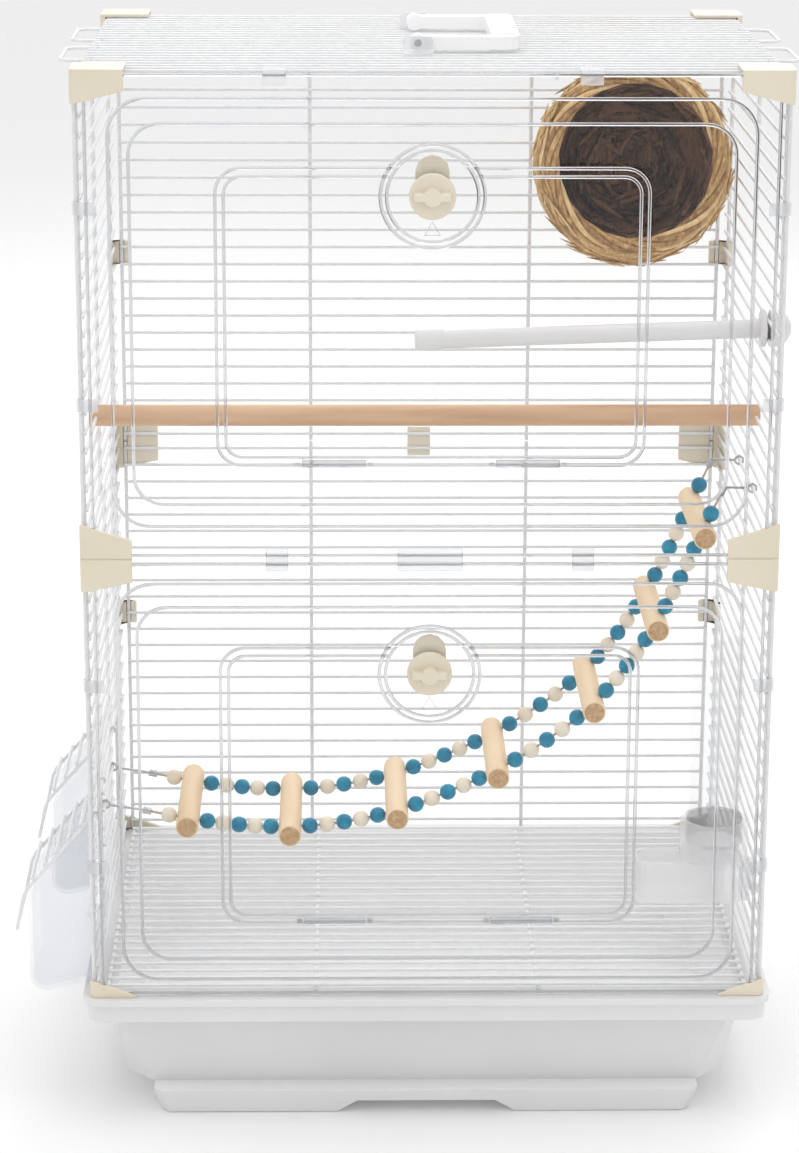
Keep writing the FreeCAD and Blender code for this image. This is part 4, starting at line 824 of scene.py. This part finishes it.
def raised_line(name, half, low, high, corner, body, gap=0.0, out=2.6):
    """A rounded rectangle of fine rod; gap leaves out the middle of its upper side."""
    put_down()
    bpy.ops.mesh.primitive_plane_add(
        size=1.0, location=(0, 0, (low + high) / 2 * MM), rotation=(math.pi / 2, 0, 0))
    outline = named(name)
    outline.scale = (2 * half * MM, (high - low) * MM, 1.0)
    settle(outline)
    start_edit(outline, "VERT")
    bpy.ops.mesh.select_all(action="SELECT")
    bpy.ops.mesh.bevel(offset=corner * MM, segments=8, affect="VERTICES")
    if gap:
        for side in (-1, 1):
            bpy.ops.mesh.select_all(action="SELECT")
            bpy.ops.mesh.bisect(plane_co=(side * gap * MM, 0, 0), plane_no=(1, 0, 0))
    bpy.ops.mesh.select_all(action="SELECT")
    bpy.ops.mesh.delete(type="ONLY_FACE")
    bpy.ops.mesh.select_mode(type="EDGE")
    if gap:
        reach = (gap + 0.1) * MM
        top = (high - 0.1) * MM
        pick_edges(outline, lambda a, b: max(abs(a.x), abs(b.x)) < reach and max(a.z, b.z) > top)
        bpy.ops.mesh.delete(type="EDGE")
    bpy.ops.object.mode_set(mode="OBJECT")
    clear_on(rod_along(outline, LINE_R, (0, PANEL_FRONT - out * MM, 0)), body)


def latch_line(name, radius, z, edge, above, body):
    """The part of the ring round a latch that lies above or below the door's upper edge."""
    put_down()
    bpy.ops.mesh.primitive_torus_add(
        major_radius=radius * MM, minor_radius=LINE_R, major_segments=72, minor_segments=10,
        location=(0, PANEL_FRONT - RIDGE - 1.0 * MM, z * MM), rotation=(math.pi / 2, 0, 0))
    ring = settle(named(name))
    start_edit(ring, "VERT")
    bpy.ops.mesh.select_all(action="SELECT")
    bpy.ops.mesh.bisect(
        plane_co=(0, 0, edge * MM), plane_no=(0, 0, 1), use_fill=True,
        clear_inner=above, clear_outer=not above)
    bpy.ops.object.mode_set(mode="OBJECT")
    clear_on(smooth(ring, 60), body)


def latch_mark(name, z, body):
    """The small raised triangle under a knob, drawn in fine rod."""
    low, high = MARK_SPAN
    put_down()
    bpy.ops.mesh.primitive_circle_add(
        vertices=3, radius=1.0, location=(0, 0, 0), rotation=(math.pi / 2, 0, 0))
    outline = settle(named(name))
    corners = [vertex.co for vertex in outline.data.vertices]
    wide = max(corner.x for corner in corners) - min(corner.x for corner in corners)
    tall = max(corner.z for corner in corners) - min(corner.z for corner in corners)
    start_edit(outline, "VERT")
    bpy.ops.mesh.select_all(action="SELECT")
    bpy.ops.transform.resize(
        value=(MARK_W * MM / wide, 1.0, (high - low) * MM / tall), center_override=(0, 0, 0))
    bpy.ops.object.mode_set(mode="OBJECT")
    foot = min(vertex.co.z for vertex in outline.data.vertices)
    shift = (0, PANEL_FRONT - RIDGE / 2, (z + low) * MM - foot)
    clear_on(rod_along(outline, MARK_R, shift), body)


def make_raised_lines():
    knuckle = smooth(turned("barrel", in_metres(BARREL), 16), 40)
    for body, low in DOORS:
        high = low + DOOR_H
        raised_line(body + "_line_outer", 113.0, low + 1.0, high - 1.0, 13.0, body, 20.5)
        raised_line(body + "_line_inner", 108.6, low + 5.4, high - 5.4, 9.0, body, 22.5)
        panel_low, panel_high = PANELS[body]
        raised_line(
            body + "_panel_edge", 180.0, panel_low + 1.0, panel_high - 1.0, 8.0, "cage", out=1.0)
        for side, x in BARREL_SIDES:
            barrel = copy_of(knuckle, body + "_barrel_" + side)
            place_along(barrel, Vector((x, BARREL_Y, low + BARREL_RISE)) * MM, (1.0, 0.0, 0.0))
            clear_on(barrel, body)
        raised_line(body + "_frame_outer", 168.0, low - 32.5, high + 35.0, 19.0, "cage")
        raised_line(body + "_frame_inner", 157.5, low - 20.5, high + 22.0, 16.0, "cage")
        latch_z = high - LATCH_DROP
        latch_mark(body + "_latch_mark", latch_z, body)
        for ring, radius in LATCH_RINGS:
            latch_line(body + "_ring_low_" + ring, radius, latch_z, high - RING_SPLIT, False, body)
            latch_line(body + "_ring_high_" + ring, radius, latch_z, high + RING_SPLIT, True, "cage")
    bpy.data.objects.remove(knuckle)


make_ladder()
make_nest()
make_perch()
make_raised_lines()
for node_name, node in nodes.items():
    slot = slots[node_name]
    give(node, looks.get(node_name, slot))
    if slot in edges:
        soften(node, edges[slot])


# Camera, light and floor

def set_camera():
    """The photograph's view: slightly from the left and well above."""
    data = bpy.data.cameras.new("camera")
    data.sensor_width = 36.0
    data.lens = 104.38
    camera = bpy.data.objects.new("camera", data)
    bpy.context.scene.collection.objects.link(camera)
    place = Matrix.Translation((-0.0486, -1.856, 0.8159))
    heading = Matrix.Rotation(math.radians(-1.07), 4, "Z")
    tilt = Matrix.Rotation(math.radians(90 - 16.10), 4, "X")
    roll = Matrix.Rotation(math.radians(0.22), 4, "Z")
    camera.matrix_world = place @ heading @ tilt @ roll
    data.clip_start = 0.05
    data.clip_end = 50.0
    bpy.context.scene.camera = camera


def seen_directly(tree):
    """1 for rays from the camera, from reflections and through clear plastic."""
    path = tree.nodes.new("ShaderNodeLightPath")
    total = path.outputs["Is Camera Ray"]
    for kind in ("Is Glossy Ray", "Is Transmission Ray"):
        total = worked(tree, "MAXIMUM", total, path.outputs[kind])
    return total


def set_world():
    """White studio: plain soft light, and a white ground behind the cage."""
    world = bpy.data.worlds.new("studio")
    bpy.context.scene.world = world
    world.use_nodes = True
    tree = world.node_tree
    light = next(node for node in tree.nodes if node.type == "BACKGROUND")
    light.inputs["Color"].default_value = (1.0, 1.0, 1.0, 1.0)
    light.inputs["Strength"].default_value = 0.94
    ground = tree.nodes.new("ShaderNodeBackground")
    ground.inputs["Strength"].default_value = 1.0
    direction = tree.nodes.new("ShaderNodeTexCoord")
    parts = tree.nodes.new("ShaderNodeSeparateXYZ")
    tree.links.new(direction.outputs["Generated"], parts.inputs["Vector"])
    stops = ((0.0, (0.38, 0.39, 0.41)), (0.25, (0.42, 0.43, 0.45)), (0.7, (1.0, 1.0, 1.0)))
    tree.links.new(shades(tree, parts.outputs["Y"], stops), ground.inputs["Color"])
    mix = tree.nodes.new("ShaderNodeMixShader")
    output = next(node for node in tree.nodes if node.type == "OUTPUT_WORLD")
    tree.links.new(seen_directly(tree), mix.inputs["Fac"])
    tree.links.new(light.outputs["Background"], mix.inputs[1])
    tree.links.new(ground.outputs["Background"], mix.inputs[2])
    tree.links.new(mix.outputs["Shader"], output.inputs["Surface"])


def soft_lamp(name, place, aim, size, power):
    data = bpy.data.lights.new(name, "AREA")
    data.shape = "SQUARE"
    data.size = size
    data.energy = power
    lamp = bpy.data.objects.new(name, data)
    bpy.context.scene.collection.objects.link(lamp)
    lamp.location = place
    way = Vector(aim) - Vector(place)
    lamp.rotation_mode = "QUATERNION"
    lamp.rotation_quaternion = way.to_track_quat("-Z", "Y")


def set_floor():
    """A wide white floor that runs on into the white ground and keeps the cage's shadow."""
    put_down()
    bpy.ops.mesh.primitive_plane_add(size=30.0, location=(0, 0, -0.5 * MM))
    floor = named("floor")
    finish, tree, shader = finish_of("white_floor")
    shader.inputs["Base Color"].default_value = (0.9, 0.9, 0.9, 1.0)
    shader.inputs["Roughness"].default_value = 0.9
    glow = tree.nodes.new("ShaderNodeEmission")
    glow.inputs["Color"].default_value = (1.0, 1.0, 1.0, 1.0)
    glow.inputs["Strength"].default_value = 1.0
    mix = tree.nodes.new("ShaderNodeMixShader")
    output = next(node for node in tree.nodes if node.type == "OUTPUT_MATERIAL")
    tree.links.new(worked(tree, "MULTIPLY", seen_directly(tree), 0.12), mix.inputs["Fac"])
    tree.links.new(shader.outputs["BSDF"], mix.inputs[1])
    tree.links.new(glow.outputs["Emission"], mix.inputs[2])
    tree.links.new(mix.outputs["Shader"], output.inputs["Surface"])
    floor.data.materials.append(finish)


set_camera()
set_world()
set_floor()
soft_lamp("key", (-1.3, -1.5, 2.0), (0.0, 0.0, 0.3), 1.4, 3.0)
soft_lamp("fill", (1.6, -1.2, 1.3), (0.0, 0.0, 0.3), 1.4, 1.0)
soft_lamp("back", (0.3, 1.8, 1.8), (0.0, 0.0, 0.4), 1.6, 14.0)
soft_lamp("top", (0.0, -0.2, 2.3), (0.0, 0.0, 0.0), 1.6, 13.0)
bpy.context.scene.view_settings.view_transform = "Standard"
